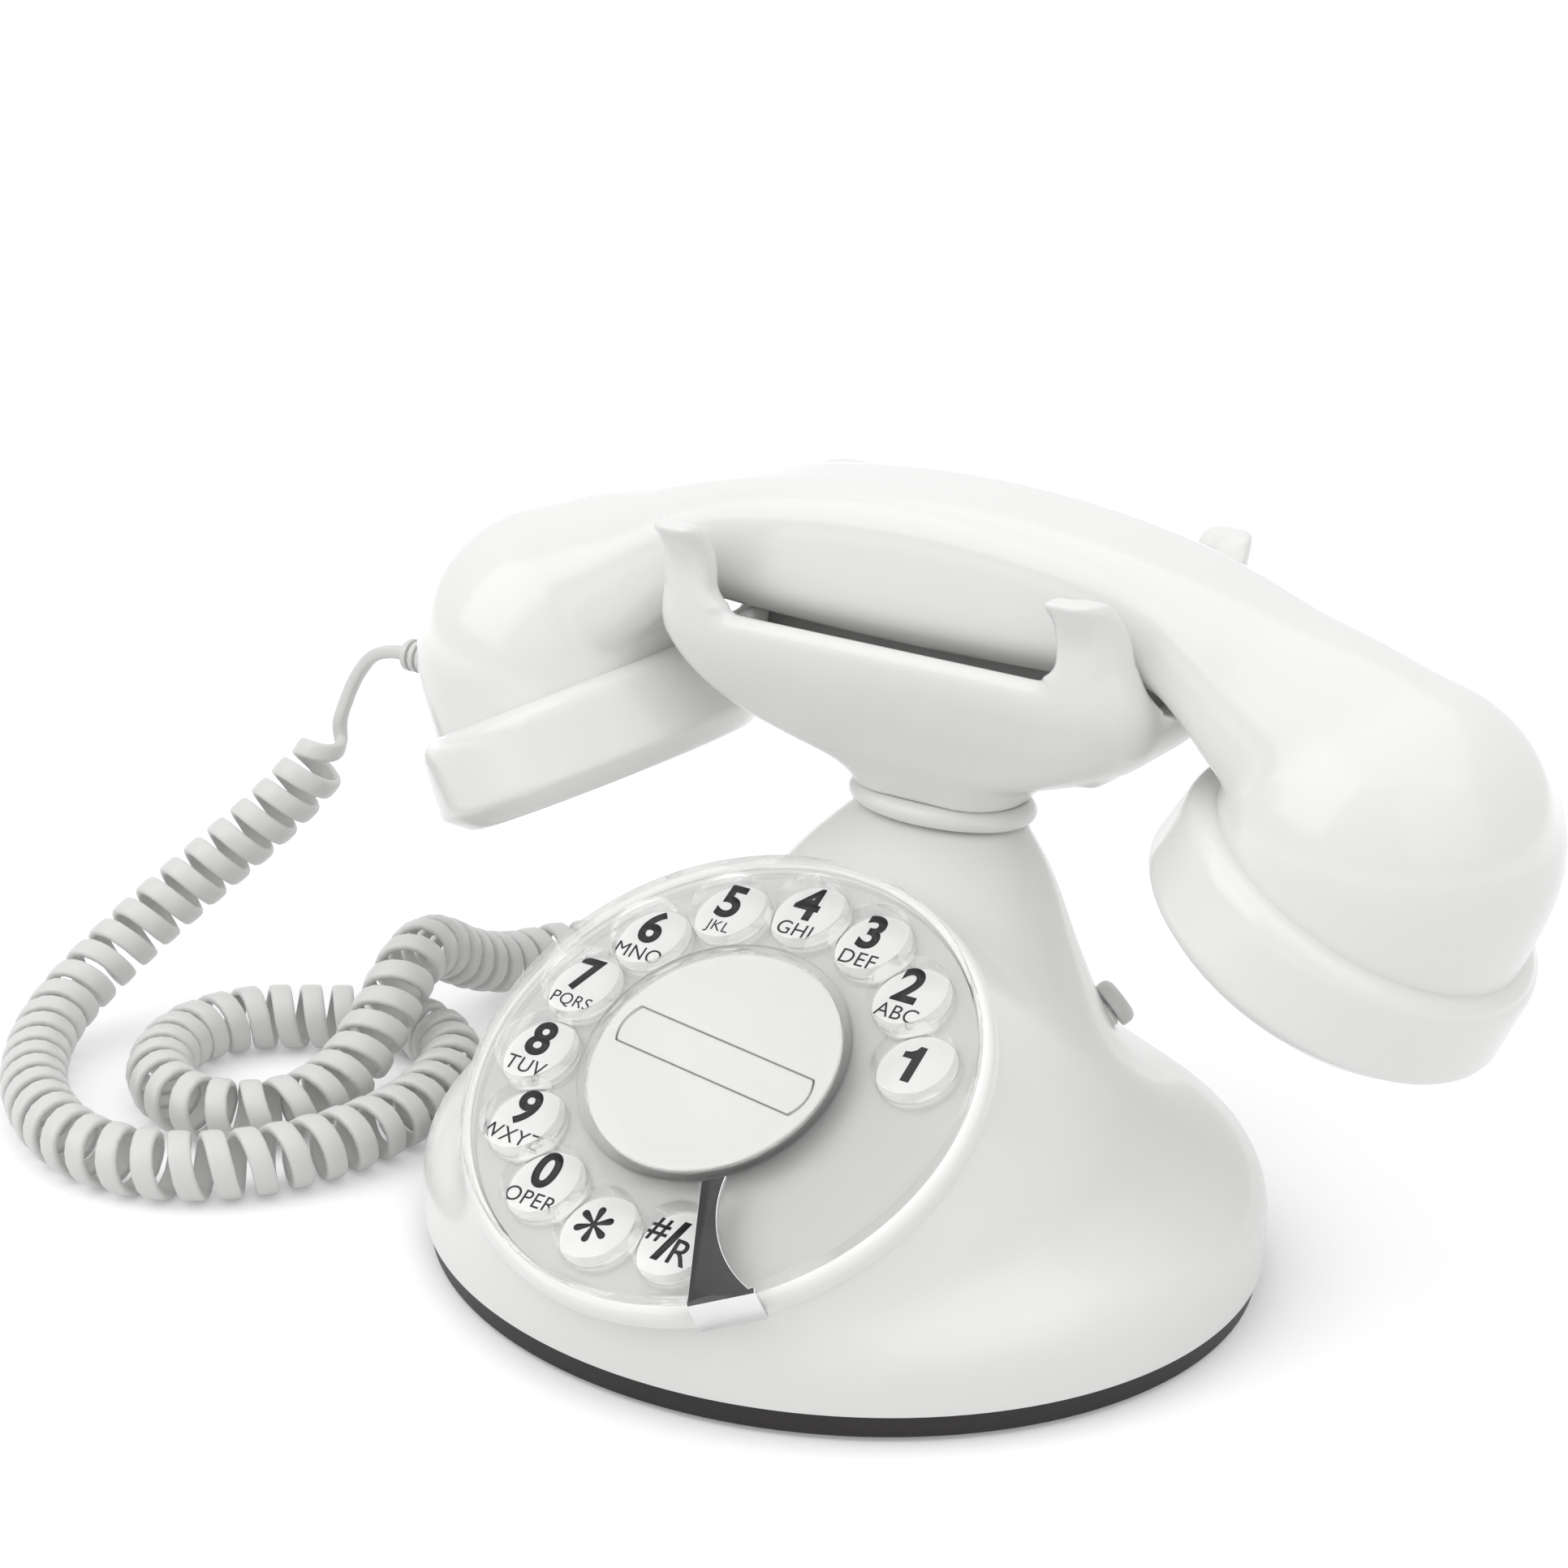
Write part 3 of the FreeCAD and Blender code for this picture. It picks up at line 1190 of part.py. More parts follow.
cups = both_sides(on_dome(group("cup", [cup_solid("dome", 0)])))
hollows = both_sides(on_dome(group("cup_hollow", [cup_solid("cup_room", size("handset_wall"))])))
skirt = cylinder("skirt", "thread_r", "thread_high + 2.5", ("0", "0", "cap_high - thread_high"))
SKIRT_LOW = "cap_high - thread_high"
skirt_bore = cylinder("skirt_bore", "thread_r - handset_wall", "cap_high * 2", ("0", "0", SKIRT_LOW))
skirts = both_sides(on_cup(group("thread", [cut("thread_ring", skirt, skirt_bore)]), -1))
handset_outer = fuse("handset_outer", handle_smooth, *cups)
handset_inner = fuse("handset_inner", handle_hollow, *hollows)
handset_hollow = cut("handset_hollow", handset_outer, handset_inner)
cap_room = []
for side in (-1, 1):
    drum = cylinder(f"cap_room_drum_{side}", "cap_r + 6", "cap_high", ("0", "0", "0"))
    cap_room.append(on_cup(group(f"cap_room_{side}", [drum]), side))
handset_trim = cut("handset_trim", handset_hollow, *cap_room)
bush_hole = shape_piece(
    "bush_hole",
    Part.makeCylinder(
        size("bush_r") + size("slip"),
        20,
        V(-size("bush_tip") - 1, size("handset_y"), size("bush_z")),
        V(1, 0, 0),
    ),
)
node("handset_shell", cut("handset_shell", fuse("handset_body", handset_trim, *skirts), bush_hole))


# Cord bush: a ribbed sleeve where the cord leaves the left cup.
def cord_bush():
    start = V(-size("bush_tip"), size("handset_y"), size("bush_z"))
    sleeve = Part.makeCylinder(size("bush_r"), size("bush_long"), start, V(1, 0, 0))
    for number in range(4):
        rib = Part.makeCylinder(size("bush_r") + 0.7, 1.0, start + V(0.8 + 1.8 * number, 0, 0), V(1, 0, 0))
        sleeve = sleeve.fuse(rib)
    return sleeve.removeSplitter()


node("cord_bush", shape_piece("cord_bush", cord_bush()))


# Caps: screwed on under the cups, chamfered towards the face, with sound holes.
def cap(word, rings):
    body = cone(f"{word}_body", "cap_r", "cap_top_r", "cap_high")
    soft = rounded(f"{word}_soft", body, 1.6, lambda edge: edge.BoundBox.ZMin > size("cap_high") - 1)
    foot = cone(f"{word}_foot", "cap_face_r", "cap_r", "cap_chamfer", ("0", "0", "-cap_chamfer"))
    room_low = "-cap_chamfer + cap_floor"
    thread_low = "cap_high - thread_high - free_gap"
    thread = cylinder(f"{word}_thread_room", "thread_r + slip", "cap_high", ("0", "0", thread_low))
    room_high = "cap_high + cap_chamfer"
    room = cylinder(f"{word}_capsule_room", "capsule_r + slip", room_high, ("0", "0", room_low))
    holes = []
    for ring_r, count in rings:
        for number in range(count):
            angle = TURN * number / count
            at = (f"{ring_r * math.cos(angle):.3f}", f"{ring_r * math.sin(angle):.3f}", "-cap_chamfer")
            holes.append(cylinder(f"{word}_hole_{ring_r:.0f}_{number}", "sound_hole_r", "cap_floor", at))
    return cut(word, fuse(f"{word}_solid", soft, foot), thread, room, *holes)


def capsule(word):
    low = "-cap_chamfer + cap_floor"
    can = cylinder(f"{word}_can", "capsule_r", "capsule_high", ("0", "0", low))
    front = cylinder(f"{word}_front", "capsule_r - 3", "0.8", ("0", "0", low))
    boss = cylinder(f"{word}_boss", "6", "capsule_high + 2", ("0", "0", low))
    return cut(word, fuse(f"{word}_body", can, boss), front)


node("ear_cap", on_cup(cap("ear_cap", ((0.0, 1), (6.0, 6), (12.0, 12))), 1))
node("mouth_cap", on_cup(cap("mouth_cap", ((4.0, 4), (9.0, 10), (14.0, 16))), -1))
node("receiver_capsule", on_cup(capsule("receiver_capsule"), 1))
node("microphone_capsule", on_cup(capsule("microphone_capsule"), -1))


# Handset cord: plain lead from the bush, curls along the route, plain tail into the grommet.
def cord_line():
    start = V(-size("bush_tip"), size("handset_y"), size("bush_z"))
    end = GROMMET_FOOT + GROMMET_OUT * GROMMET_LONG
    route = [V(*point) for point in CORD_ROUTE]
    route = [start] + route + [end + GROMMET_OUT * 9, end]
    curve = Part.BSplineCurve()
    curve.buildFromPoles(route, False, 2)
    return curve


def smooth_share(value):
    value = min(1.0, max(0.0, value))
    return value * value * (3 - 2 * value)


class Cord:
    """Centre line with a frame that doesn't twist, and the wire that winds round it."""

    STEP = 0.25

    def __init__(self):
        curve = cord_line()
        self.long = curve.length()
        self.count = int(self.long / self.STEP)
        self.step = self.long / self.count
        marks = [curve.parameterAtDistance(self.step * number) for number in range(self.count + 1)]
        self.places = [curve.value(mark) for mark in marks]
        self.ways = [curve.tangent(mark)[0] for mark in marks]
        side = self.ways[0].cross(V(0, 0, 1)).normalize()
        self.sides = []
        self.turns = [0.0]
        for number, way in enumerate(self.ways):
            side = (side - way * side.dot(way)).normalize()
            self.sides.append(side)
            wound = self.step * self.curl_share(self.step * number) / size("curl_pitch")
            self.turns.append(self.turns[-1] + wound)

    def curl_share(self, distance):
        """How far the curls are wound open: nothing in the plain ends, fully in between."""
        grow = smooth_share((distance - CORD_PLAIN_LEAD) / CURL_START)
        fade = smooth_share((self.long - CORD_PLAIN_TAIL - distance) / CURL_START)
        return grow * fade

    def at(self, distance):
        spot = min(max(distance / self.step, 0), self.count - 1e-6)
        low = int(spot)
        part = spot - low
        place = self.places[low] * (1 - part) + self.places[low + 1] * part
        way = (self.ways[low] * (1 - part) + self.ways[low + 1] * part).normalize()
        side = (self.sides[low] * (1 - part) + self.sides[low + 1] * part).normalize()
        angle = TURN * (self.turns[low] * (1 - part) + self.turns[low + 1] * part)
        radius = size("curl_r") * self.curl_share(distance)
        return place + (side * math.cos(angle) + way.cross(side) * math.sin(angle)) * radius

    def way_at(self, distance):
        reach = 0.02
        return (self.at(distance + reach) - self.at(distance - reach)).normalize()

    def stations(self, first, last):
        """Distances from first to last at about a quarter turn each."""
        spots = [first]
        while spots[-1] < last:
            quarter = size("curl_pitch") / 4 / max(self.curl_share(spots[-1]), 0.5)
            spots.append(spots[-1] + quarter)
        stretch = (last - first) / (spots[-1] - first)
        return [first + (spot - first) * stretch for spot in spots]


def cord_solid():
    cord = Cord()
    straight = size("wire_r") * 2
    stations = [0.0, *cord.stations(straight, cord.long - straight), cord.long]
    points = [cord.at(spot) for spot in stations]
    ways = [cord.way_at(spot) for spot in stations]
    ways[0] = ways[1] = cord.ways[0]
    points[1] = points[0] + ways[0] * straight
    ways[-1] = ways[-2] = GROMMET_OUT * -1
    points[-2] = points[-1] - ways[-1] * straight
    solid, path = tube(points, ways, size("wire_r"))
    tightest = min(edge.Curve.Radius for edge in path.Edges if hasattr(edge.Curve, "Radius"))
    print(f"cord: route {cord.long:.1f} mm, {cord.turns[-1]:.1f} curls, tightest arc {tightest:.2f} mm")
    print(f"cord: least gap to itself {least_gap(path):.2f} mm")
    return solid


def least_gap(path):
    """Least distance between stretches of the wire that aren't neighbours, less its diameter."""
    spacing = 0.5
    marks = path.discretize(Distance=spacing)
    cell = 6.0
    near_along = int(1.5 * math.pi * size("curl_r") / spacing)
    buckets = {}
    least = cell
    for number, mark in enumerate(marks):
        key = (int(mark.x // cell), int(mark.y // cell), int(mark.z // cell))
        for dx in (-1, 0, 1):
            for dy in (-1, 0, 1):
                for dz in (-1, 0, 1):
                    for other in buckets.get((key[0] + dx, key[1] + dy, key[2] + dz), ()):
                        if number - other > near_along:
                            least = min(least, mark.distanceToPoint(marks[other]))
        buckets.setdefault(key, []).append(number)
    return least - size("wire_r") * 2


node("handset_cord", shape_piece("handset_cord", cord_solid()))

# Every piece is checked before anything is written.
doc.recompute()
for piece in doc.Objects:
    if "Invalid" in piece.State or "Error" in piece.State:
        raise RuntimeError(f"{piece.Name} failed to build: {piece.State}")
for piece in NODES:
    shape = piece.Shape
    if shape.isNull() or not shape.isValid() or not shape.Solids:
        raise RuntimeError(f"{piece.Label} has no sound solid")
for piece in NODES:
    solids = piece.Shape.Solids
    shape = solids[0] if len(solids) == 1 else Part.makeCompound(solids)
    shape.exportStep(f"parts/{piece.Label}.step")
    corner = shape.BoundBox
    print(
        f"{piece.Label}: {len(solids)} solid, {shape.Volume:.0f} mm3,"
        f" x {corner.XMin:.1f} {corner.XMax:.1f} y {corner.YMin:.1f} {corner.YMax:.1f}"
        f" z {corner.ZMin:.1f} {corner.ZMax:.1f}"
    )
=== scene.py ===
import math

import bpy
from mathutils import Matrix, Vector


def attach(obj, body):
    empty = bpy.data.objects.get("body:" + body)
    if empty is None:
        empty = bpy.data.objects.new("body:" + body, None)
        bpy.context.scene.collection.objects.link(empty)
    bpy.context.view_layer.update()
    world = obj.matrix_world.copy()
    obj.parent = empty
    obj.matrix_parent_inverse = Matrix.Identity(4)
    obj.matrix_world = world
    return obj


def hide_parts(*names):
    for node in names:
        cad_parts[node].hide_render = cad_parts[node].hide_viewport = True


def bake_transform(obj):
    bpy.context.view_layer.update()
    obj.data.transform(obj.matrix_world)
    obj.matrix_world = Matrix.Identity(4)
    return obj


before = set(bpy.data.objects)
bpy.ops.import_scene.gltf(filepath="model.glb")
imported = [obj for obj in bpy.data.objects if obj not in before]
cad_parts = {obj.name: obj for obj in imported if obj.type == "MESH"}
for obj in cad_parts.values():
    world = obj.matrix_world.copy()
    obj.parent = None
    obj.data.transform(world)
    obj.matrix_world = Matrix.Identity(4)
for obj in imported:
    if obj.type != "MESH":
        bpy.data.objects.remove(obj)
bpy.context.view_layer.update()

# Camera: a long lens in front of the telephone, to its right and above it,
# turned a little about its own line of sight.
CAMERA_PLACE = (0.25532, -0.40497, 0.25317)
CAMERA_AROUND = math.radians(33.589)
CAMERA_ABOVE = math.radians(19.821)
CAMERA_ROLL = math.radians(1.273)
CAMERA_LENS = 71.72
CAMERA_SENSOR = 36
CAMERA_NEAR = 0.01
camera_back = Vector((
    math.sin(CAMERA_AROUND) * math.cos(CAMERA_ABOVE),
    -math.cos(CAMERA_AROUND) * math.cos(CAMERA_ABOVE),
    math.sin(CAMERA_ABOVE),
))
level_right = Vector((math.cos(CAMERA_AROUND), math.sin(CAMERA_AROUND), 0))
level_up = camera_back.cross(level_right)
camera_right = level_right * math.cos(CAMERA_ROLL) + level_up * math.sin(CAMERA_ROLL)
camera_up = level_up * math.cos(CAMERA_ROLL) - level_right * math.sin(CAMERA_ROLL)
camera_turn = Matrix((camera_right, camera_up, camera_back)).transposed().to_4x4()
bpy.ops.object.select_all(action="DESELECT")
bpy.ops.object.camera_add()
camera = bpy.context.active_object
camera.name = "studio_camera"
camera.matrix_world = Matrix.Translation(CAMERA_PLACE) @ camera_turn
camera.data.lens = CAMERA_LENS
camera.data.sensor_width = CAMERA_SENSOR
camera.data.clip_start = CAMERA_NEAR
bpy.context.scene.camera = camera
bpy.context.scene.view_settings.view_transform = "Standard"

# Studio: a plain pale floor that runs out of sight, and large soft lamps from the left front,
# more weakly from the right, and overhead. Floor and air show white where no shadow lies.
FLOOR_SIZE = 16
FLOOR_WHITE = (0.88, 0.88, 0.88, 1)
FLOOR_LIFT = 0.22
FLOOR_FADE_FROM = 0.25
FLOOR_FADE_TO = 0.9
AIR_LEVEL = 0.42
AIR_ABOVE = 0.7
AIR_FADE_TO = 0.7


def link(tree, from_node, from_socket, to_node, to_socket):
    tree.links.new(from_node.outputs[from_socket], to_node.inputs[to_socket])


def seen_directly(tree):
    """1 for a ray that shows the surface to the eye, straight or by way of metal and glass."""
    path = tree.nodes.new("ShaderNodeLightPath")
    either = tree.nodes.new("ShaderNodeMath")
    either.operation = "MAXIMUM"
    link(tree, path, "Is Camera Ray", either, 0)
    link(tree, path, "Is Glossy Ray", either, 1)
    any_way = tree.nodes.new("ShaderNodeMath")
    any_way.operation = "MAXIMUM"
    link(tree, either, 0, any_way, 0)
    link(tree, path, "Is Transmission Ray", any_way, 1)
    return any_way


bpy.ops.object.select_all(action="DESELECT")
bpy.ops.mesh.primitive_plane_add(size=FLOOR_SIZE)
floor = bpy.context.active_object
floor.name = "studio_floor"
floor_paint = bpy.data.materials.new("studio_floor_white")
floor_paint.use_nodes = True
floor_tree = floor_paint.node_tree
floor_tree.nodes.clear()
floor_matt = floor_tree.nodes.new("ShaderNodeBsdfDiffuse")
floor_matt.inputs["Color"].default_value = FLOOR_WHITE
floor_glow = floor_tree.nodes.new("ShaderNodeEmission")
floor_where = floor_tree.nodes.new("ShaderNodeTexCoord")
floor_far = floor_tree.nodes.new("ShaderNodeVectorMath")
floor_far.operation = "LENGTH"
link(floor_tree, floor_where, "Object", floor_far, 0)
floor_fade = floor_tree.nodes.new("ShaderNodeMapRange")
floor_fade.interpolation_type = "SMOOTHSTEP"
floor_fade.inputs["From Min"].default_value = FLOOR_FADE_FROM
floor_fade.inputs["From Max"].default_value = FLOOR_FADE_TO
floor_fade.inputs["To Min"].default_value = FLOOR_LIFT
floor_fade.inputs["To Max"].default_value = 1.0
link(floor_tree, floor_far, "Value", floor_fade, "Value")
floor_lift = floor_tree.nodes.new("ShaderNodeMath")
floor_lift.operation = "MULTIPLY"
link(floor_tree, seen_directly(floor_tree), 0, floor_lift, 0)
link(floor_tree, floor_fade, "Result", floor_lift, 1)
link(floor_tree, floor_lift, 0, floor_glow, "Strength")
floor_sum = floor_tree.nodes.new("ShaderNodeAddShader")
link(floor_tree, floor_matt, 0, floor_sum, 0)
link(floor_tree, floor_glow, 0, floor_sum, 1)
floor_out = floor_tree.nodes.new("ShaderNodeOutputMaterial")
link(floor_tree, floor_sum, 0, floor_out, "Surface")
floor.data.materials.append(floor_paint)

studio_air = bpy.data.worlds.new("studio_air")
studio_air.use_nodes = True
air_tree = studio_air.node_tree
air_glow = air_tree.nodes["Background"]
air_glow.inputs["Color"].default_value = (1, 1, 1, 1)
air_where = air_tree.nodes.new("ShaderNodeTexCoord")
air_axes = air_tree.nodes.new("ShaderNodeSeparateXYZ")
link(air_tree, air_where, "Generated", air_axes, "Vector")
air_fade = air_tree.nodes.new("ShaderNodeMapRange")
air_fade.interpolation_type = "SMOOTHSTEP"
air_fade.inputs["From Min"].default_value = 0.0
air_fade.inputs["From Max"].default_value = AIR_FADE_TO
air_fade.inputs["To Min"].default_value = AIR_LEVEL
air_fade.inputs["To Max"].default_value = AIR_ABOVE
link(air_tree, air_axes, "Z", air_fade, "Value")
air_seen = air_tree.nodes.new("ShaderNodeMath")
air_seen.operation = "MAXIMUM"
link(air_tree, air_fade, "Result", air_seen, 0)
link(air_tree, seen_directly(air_tree), 0, air_seen, 1)
link(air_tree, air_seen, 0, air_glow, "Strength")
bpy.context.scene.world = studio_air


def soft_lamp(name, place, aim, size, power):
    bpy.ops.object.select_all(action="DESELECT")
    bpy.ops.object.light_add(type="AREA", location=place)
    lamp = bpy.context.active_object
    lamp.name = name
    lamp.data.size = size
    lamp.data.energy = power
    lamp.rotation_euler = (Vector(aim) - Vector(place)).to_track_quat("-Z", "Y").to_euler()


LAMP_AIM = (0, 0, 0.05)
soft_lamp("lamp_left", place=(-0.75, -0.85, 0.95), aim=LAMP_AIM, size=1.2, power=6.0)
soft_lamp("lamp_right", place=(1.1, -0.5, 0.8), aim=LAMP_AIM, size=1.3, power=2.8)
soft_lamp("lamp_above", place=(0.1, 0.1, 1.4), aim=(0, 0, 0), size=1.8, power=6.2)

# Handset cord: a plastic-covered flat wire wound into curls, plain at both ends.
# It leaves the bush on the handset, lies in a loop on the table and goes into the base.
MM = 0.001
BUSH_TIP = (-119.5, 28.5, 73.0)
GROMMET_TIP = (-59.50, 52.99, 10.5)
GROMMET_AHEAD = (-65.90, 59.33, 10.5)
CORD_ROUTE = (
    BUSH_TIP,
    (-126.5, 28.5, 73.0),
    (-132.5, 28.0, 66.0),
    (-135.0, 26.0, 57.0),
    (-137.5, 22.0, 48.0),
    (-142.5, 14.5, 39.5),
    (-149.0, 5.5, 31.0),
    (-155.0, -5.0, 22.5),
    (-159.0, -16.5, 14.5),
    (-158.5, -29.5, 8.6),
    (-150.5, -43.0, 6.5),
    (-136.0, -56.5, 6.5),
    (-118.0, -64.5, 6.5),
    (-101.0, -62.0, 6.5),
    (-89.5, -52.5, 6.5),
    (-83.0, -40.0, 6.5),
    (-80.0, -26.5, 6.5),
    (-81.0, -12.5, 6.5),
    (-86.5, 1.5, 6.5),
    (-97.0, 9.5, 6.5),
    (-110.0, 9.5, 6.5),
    (-121.5, 2.0, 6.5),
    (-133.0, -7.0, 6.5),
    (-135.5, -22.0, 6.5),
    (-126.0, -37.0, 6.5),
    (-110.5, -42.0, 6.5),
    (-97.5, -34.5, 6.5),
    (-95.5, -20.0, 8.0),
    (-97.5, -6.0, 15.0),
    (-100.0, 4.5, 22.0),
    (-103.5, 15.5, 22.0),
    (-106.5, 29.0, 13.0),
    (-107.5, 43.0, 7.0),
    (-103.0, 56.5, 6.5),
    (-92.0, 65.0, 6.5),
    (-79.0, 66.5, 7.5),
    GROMMET_AHEAD,
    GROMMET_TIP,
)
WIRE_R = 1.25
RIBBON_HALF_THICK = 0.85
RIBBON_HALF_WIDE = 2.0
CURL_RADIUS = 5.3
CURL_PITCH = 5.9
CORD_LEAD = 22.0
CORD_TAIL = 14.0
CURL_START = 15.0
CURL_STEPS = 18
WIRE_SIDES = 16
RIBBON_SQUARE = 0.6
ROUTE_FINE = 24
SEAM_MERGE = 2e-6


def route_points(name, controls):
    """Points read from a smooth line that the controls pull along, in millimetres."""
    line = bpy.data.curves.new(name, "CURVE")
    line.dimensions = "3D"
    line.resolution_u = ROUTE_FINE
    spline = line.splines.new("NURBS")
    spline.points.add(len(controls) - 1)
    for point, control in zip(spline.points, controls):
        point.co = (*control, 1)
    spline.order_u = 3
    spline.use_endpoint_u = True
    holder = bpy.data.objects.new(name, line)
    drawn = bpy.data.meshes.new_from_object(holder)
    points = [vertex.co.copy() for vertex in drawn.vertices]
    bpy.data.meshes.remove(drawn)
    bpy.data.objects.remove(holder)
    bpy.data.curves.remove(line)
    return points


def smooth_share(value):
    value = min(1.0, max(0.0, value))
    return value * value * (3 - 2 * value)


def fade(value, start, over):
    """Rises smoothly from 0 at the start to 1 a stretch further on. A negative stretch counts down."""
    return smooth_share((value - start) / over)


def wrapped_grid(name, rings, ends="capped"):
    """A flat grid rolled into a tube: one row of the grid for each ring, the seam and poles merged."""
    around = len(rings[0])
    bpy.ops.object.select_all(action="DESELECT")
    bpy.ops.mesh.primitive_grid_add(x_subdivisions=around, y_subdivisions=len(rings) - 1, size=1)
    piece = bpy.context.active_object
    piece.name = name
    places = [axis * MM for ring in rings for point in (*ring, ring[0]) for axis in point]
    piece.data.vertices.foreach_set("co", places)
    bpy.ops.object.mode_set(mode="EDIT")
    bpy.ops.mesh.select_all(action="SELECT")
    bpy.ops.mesh.remove_doubles(threshold=SEAM_MERGE)
    if ends == "capped":
        bpy.ops.mesh.fill_holes(sides=0)
    bpy.ops.mesh.select_all(action="SELECT")
    bpy.ops.mesh.normals_make_consistent(inside=False)
    bpy.ops.object.mode_set(mode="OBJECT")
    return piece


def select_only(piece):
    bpy.ops.object.select_all(action="DESELECT")
    piece.select_set(True)
    bpy.context.view_layer.objects.active = piece


def smooth_by_angle(piece, degrees):
    select_only(piece)
    bpy.ops.object.shade_smooth_by_angle(angle=math.radians(degrees))


route = route_points("cord_route", CORD_ROUTE)
route_at = [0.0]
for before, after in zip(route, route[1:]):
    route_at.append(route_at[-1] + (after - before).length)
route_long = route_at[-1]


def curl_share(distance):
    """How far the curls are wound open: nothing in the plain ends, fully in between."""
    open_up = fade(distance, CORD_LEAD, CURL_START)
    close_up = fade(distance, route_long - CORD_TAIL, -CURL_START)
    return open_up * close_up


ROUTE_STEP = 0.1
PLAIN_STEP = 0.9
wire_line = []
wire_out = []
wire_share = []
spot = 0
turns = 0.0
progress = 0.0
route_side = (route[1] - route[0]).cross(Vector((0, 0, 1)))
for number in range(int(route_long / ROUTE_STEP)):
    distance = number * ROUTE_STEP
    while route_at[spot + 1] < distance:
        spot += 1
    part = (distance - route_at[spot]) / (route_at[spot + 1] - route_at[spot])
    middle = route[spot].lerp(route[spot + 1], part)
    way = (route[spot + 1] - route[spot]).normalized()
    route_side = (route_side - way * route_side.dot(way)).normalized()
    share = curl_share(distance)
    if progress >= len(wire_line) and distance < route_long - PLAIN_STEP:
        angle = 2 * math.pi * turns
        out = route_side * math.cos(angle) + way.cross(route_side) * math.sin(angle)
        wire_line.append(middle + out * (CURL_RADIUS * share))
        wire_out.append(out)
        wire_share.append(share)
    turns += ROUTE_STEP * share / CURL_PITCH
    progress += ROUTE_STEP * (share * CURL_STEPS / CURL_PITCH + (1 - share) / PLAIN_STEP)
wire_line.append(Vector(GROMMET_TIP))
wire_out.append(wire_out[-1])
wire_share.append(0.0)


def rounded_share(value):
    """A cosine or sine bent so that an oval becomes a bar with rounded edges."""
    return math.copysign(abs(value) ** RIBBON_SQUARE, value)


wire_rings = []
for number, (place, out, share) in enumerate(zip(wire_line, wire_out, wire_share)):
    ahead = wire_line[min(number + 1, len(wire_line) - 1)]
    behind = wire_line[max(number - 1, 0)]
    way = (ahead - behind).normalized()
    thick = (out - way * out.dot(way)).normalized()
    wide = way.cross(thick)
    half_thick = WIRE_R + (RIBBON_HALF_THICK - WIRE_R) * share
    half_wide = WIRE_R + (RIBBON_HALF_WIDE - WIRE_R) * share
    ring = []
    for step in range(WIRE_SIDES):
        angle = 2 * math.pi * step / WIRE_SIDES
        thick_part = thick * (half_thick * rounded_share(math.cos(angle)))
        wide_part = wide * (half_wide * rounded_share(math.sin(angle)))
        ring.append(place + thick_part + wide_part)
    wire_rings.append(ring)
cord = wrapped_grid("curly_cord", wire_rings)
smooth_by_angle(cord, degrees=60)
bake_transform(cord)
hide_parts("handset_cord")


COAT_ROUGHNESS = 0.04
CLOUD_SCALE = 18
CLOUD_DETAIL = 3
CLOUD_TONE = 0.975
SKIN_DETAIL = 2
SKIN_DEPTH = 0.0002


def moulded_plastic(name, colour, roughness, coat, grain, grain_depth):
    """Moulded plastic: a tone that drifts a little over the piece and a fine uneven skin."""
    paint = bpy.data.materials.new(name)
    paint.use_nodes = True
    tree = paint.node_tree
    shader = tree.nodes["Principled BSDF"]
    shader.inputs["Roughness"].default_value = roughness
    shader.inputs["Coat Weight"].default_value = coat
    shader.inputs["Coat Roughness"].default_value = COAT_ROUGHNESS
    where = tree.nodes.new("ShaderNodeTexCoord")
    cloud = tree.nodes.new("ShaderNodeTexNoise")
    cloud.inputs["Scale"].default_value = CLOUD_SCALE
    cloud.inputs["Detail"].default_value = CLOUD_DETAIL
    link(tree, where, "Object", cloud, "Vector")
    tone = tree.nodes.new("ShaderNodeMix")
    tone.data_type = "RGBA"
    tone.inputs["A"].default_value = (*[part * CLOUD_TONE for part in colour], 1)
    tone.inputs["B"].default_value = (*colour, 1)
    link(tree, cloud, "Fac", tone, "Factor")
    tree.links.new(tone.outputs["Result"], shader.inputs["Base Color"])
    skin = tree.nodes.new("ShaderNodeTexNoise")
    skin.inputs["Scale"].default_value = grain
    skin.inputs["Detail"].default_value = SKIN_DETAIL
    link(tree, where, "Object", skin, "Vector")
    bump = tree.nodes.new("ShaderNodeBump")
    bump.inputs["Strength"].default_value = grain_depth
    bump.inputs["Distance"].default_value = SKIN_DEPTH
    link(tree, skin, "Fac", bump, "Height")
    link(tree, bump, "Normal", shader, "Normal")
    return paint


cord_plastic = moulded_plastic(
    "cord_satin_plastic",
    (0.69, 0.69, 0.68),
    roughness=0.38,
    coat=0.1,
    grain=900,
    grain_depth=0.05,
)
cord.data.materials.append(cord_plastic)

# Base plate and feet: a dark moulded oval plate that shows as a thin band under the shell,
# on four round rubber feet pressed into pits.
COPY_MERGE = 1e-6
dark_plastic = moulded_plastic(
    "base_dark_plastic",
    (0.011, 0.009, 0.008),
    roughness=0.45,
    coat=0.0,
    grain=1400,
    grain_depth=0.08,
)
foot_rubber = moulded_plastic(
    "foot_rubber",
    (0.022, 0.022, 0.022),
    roughness=0.7,
    coat=0.0,
    grain=1800,
    grain_depth=0.2,
)


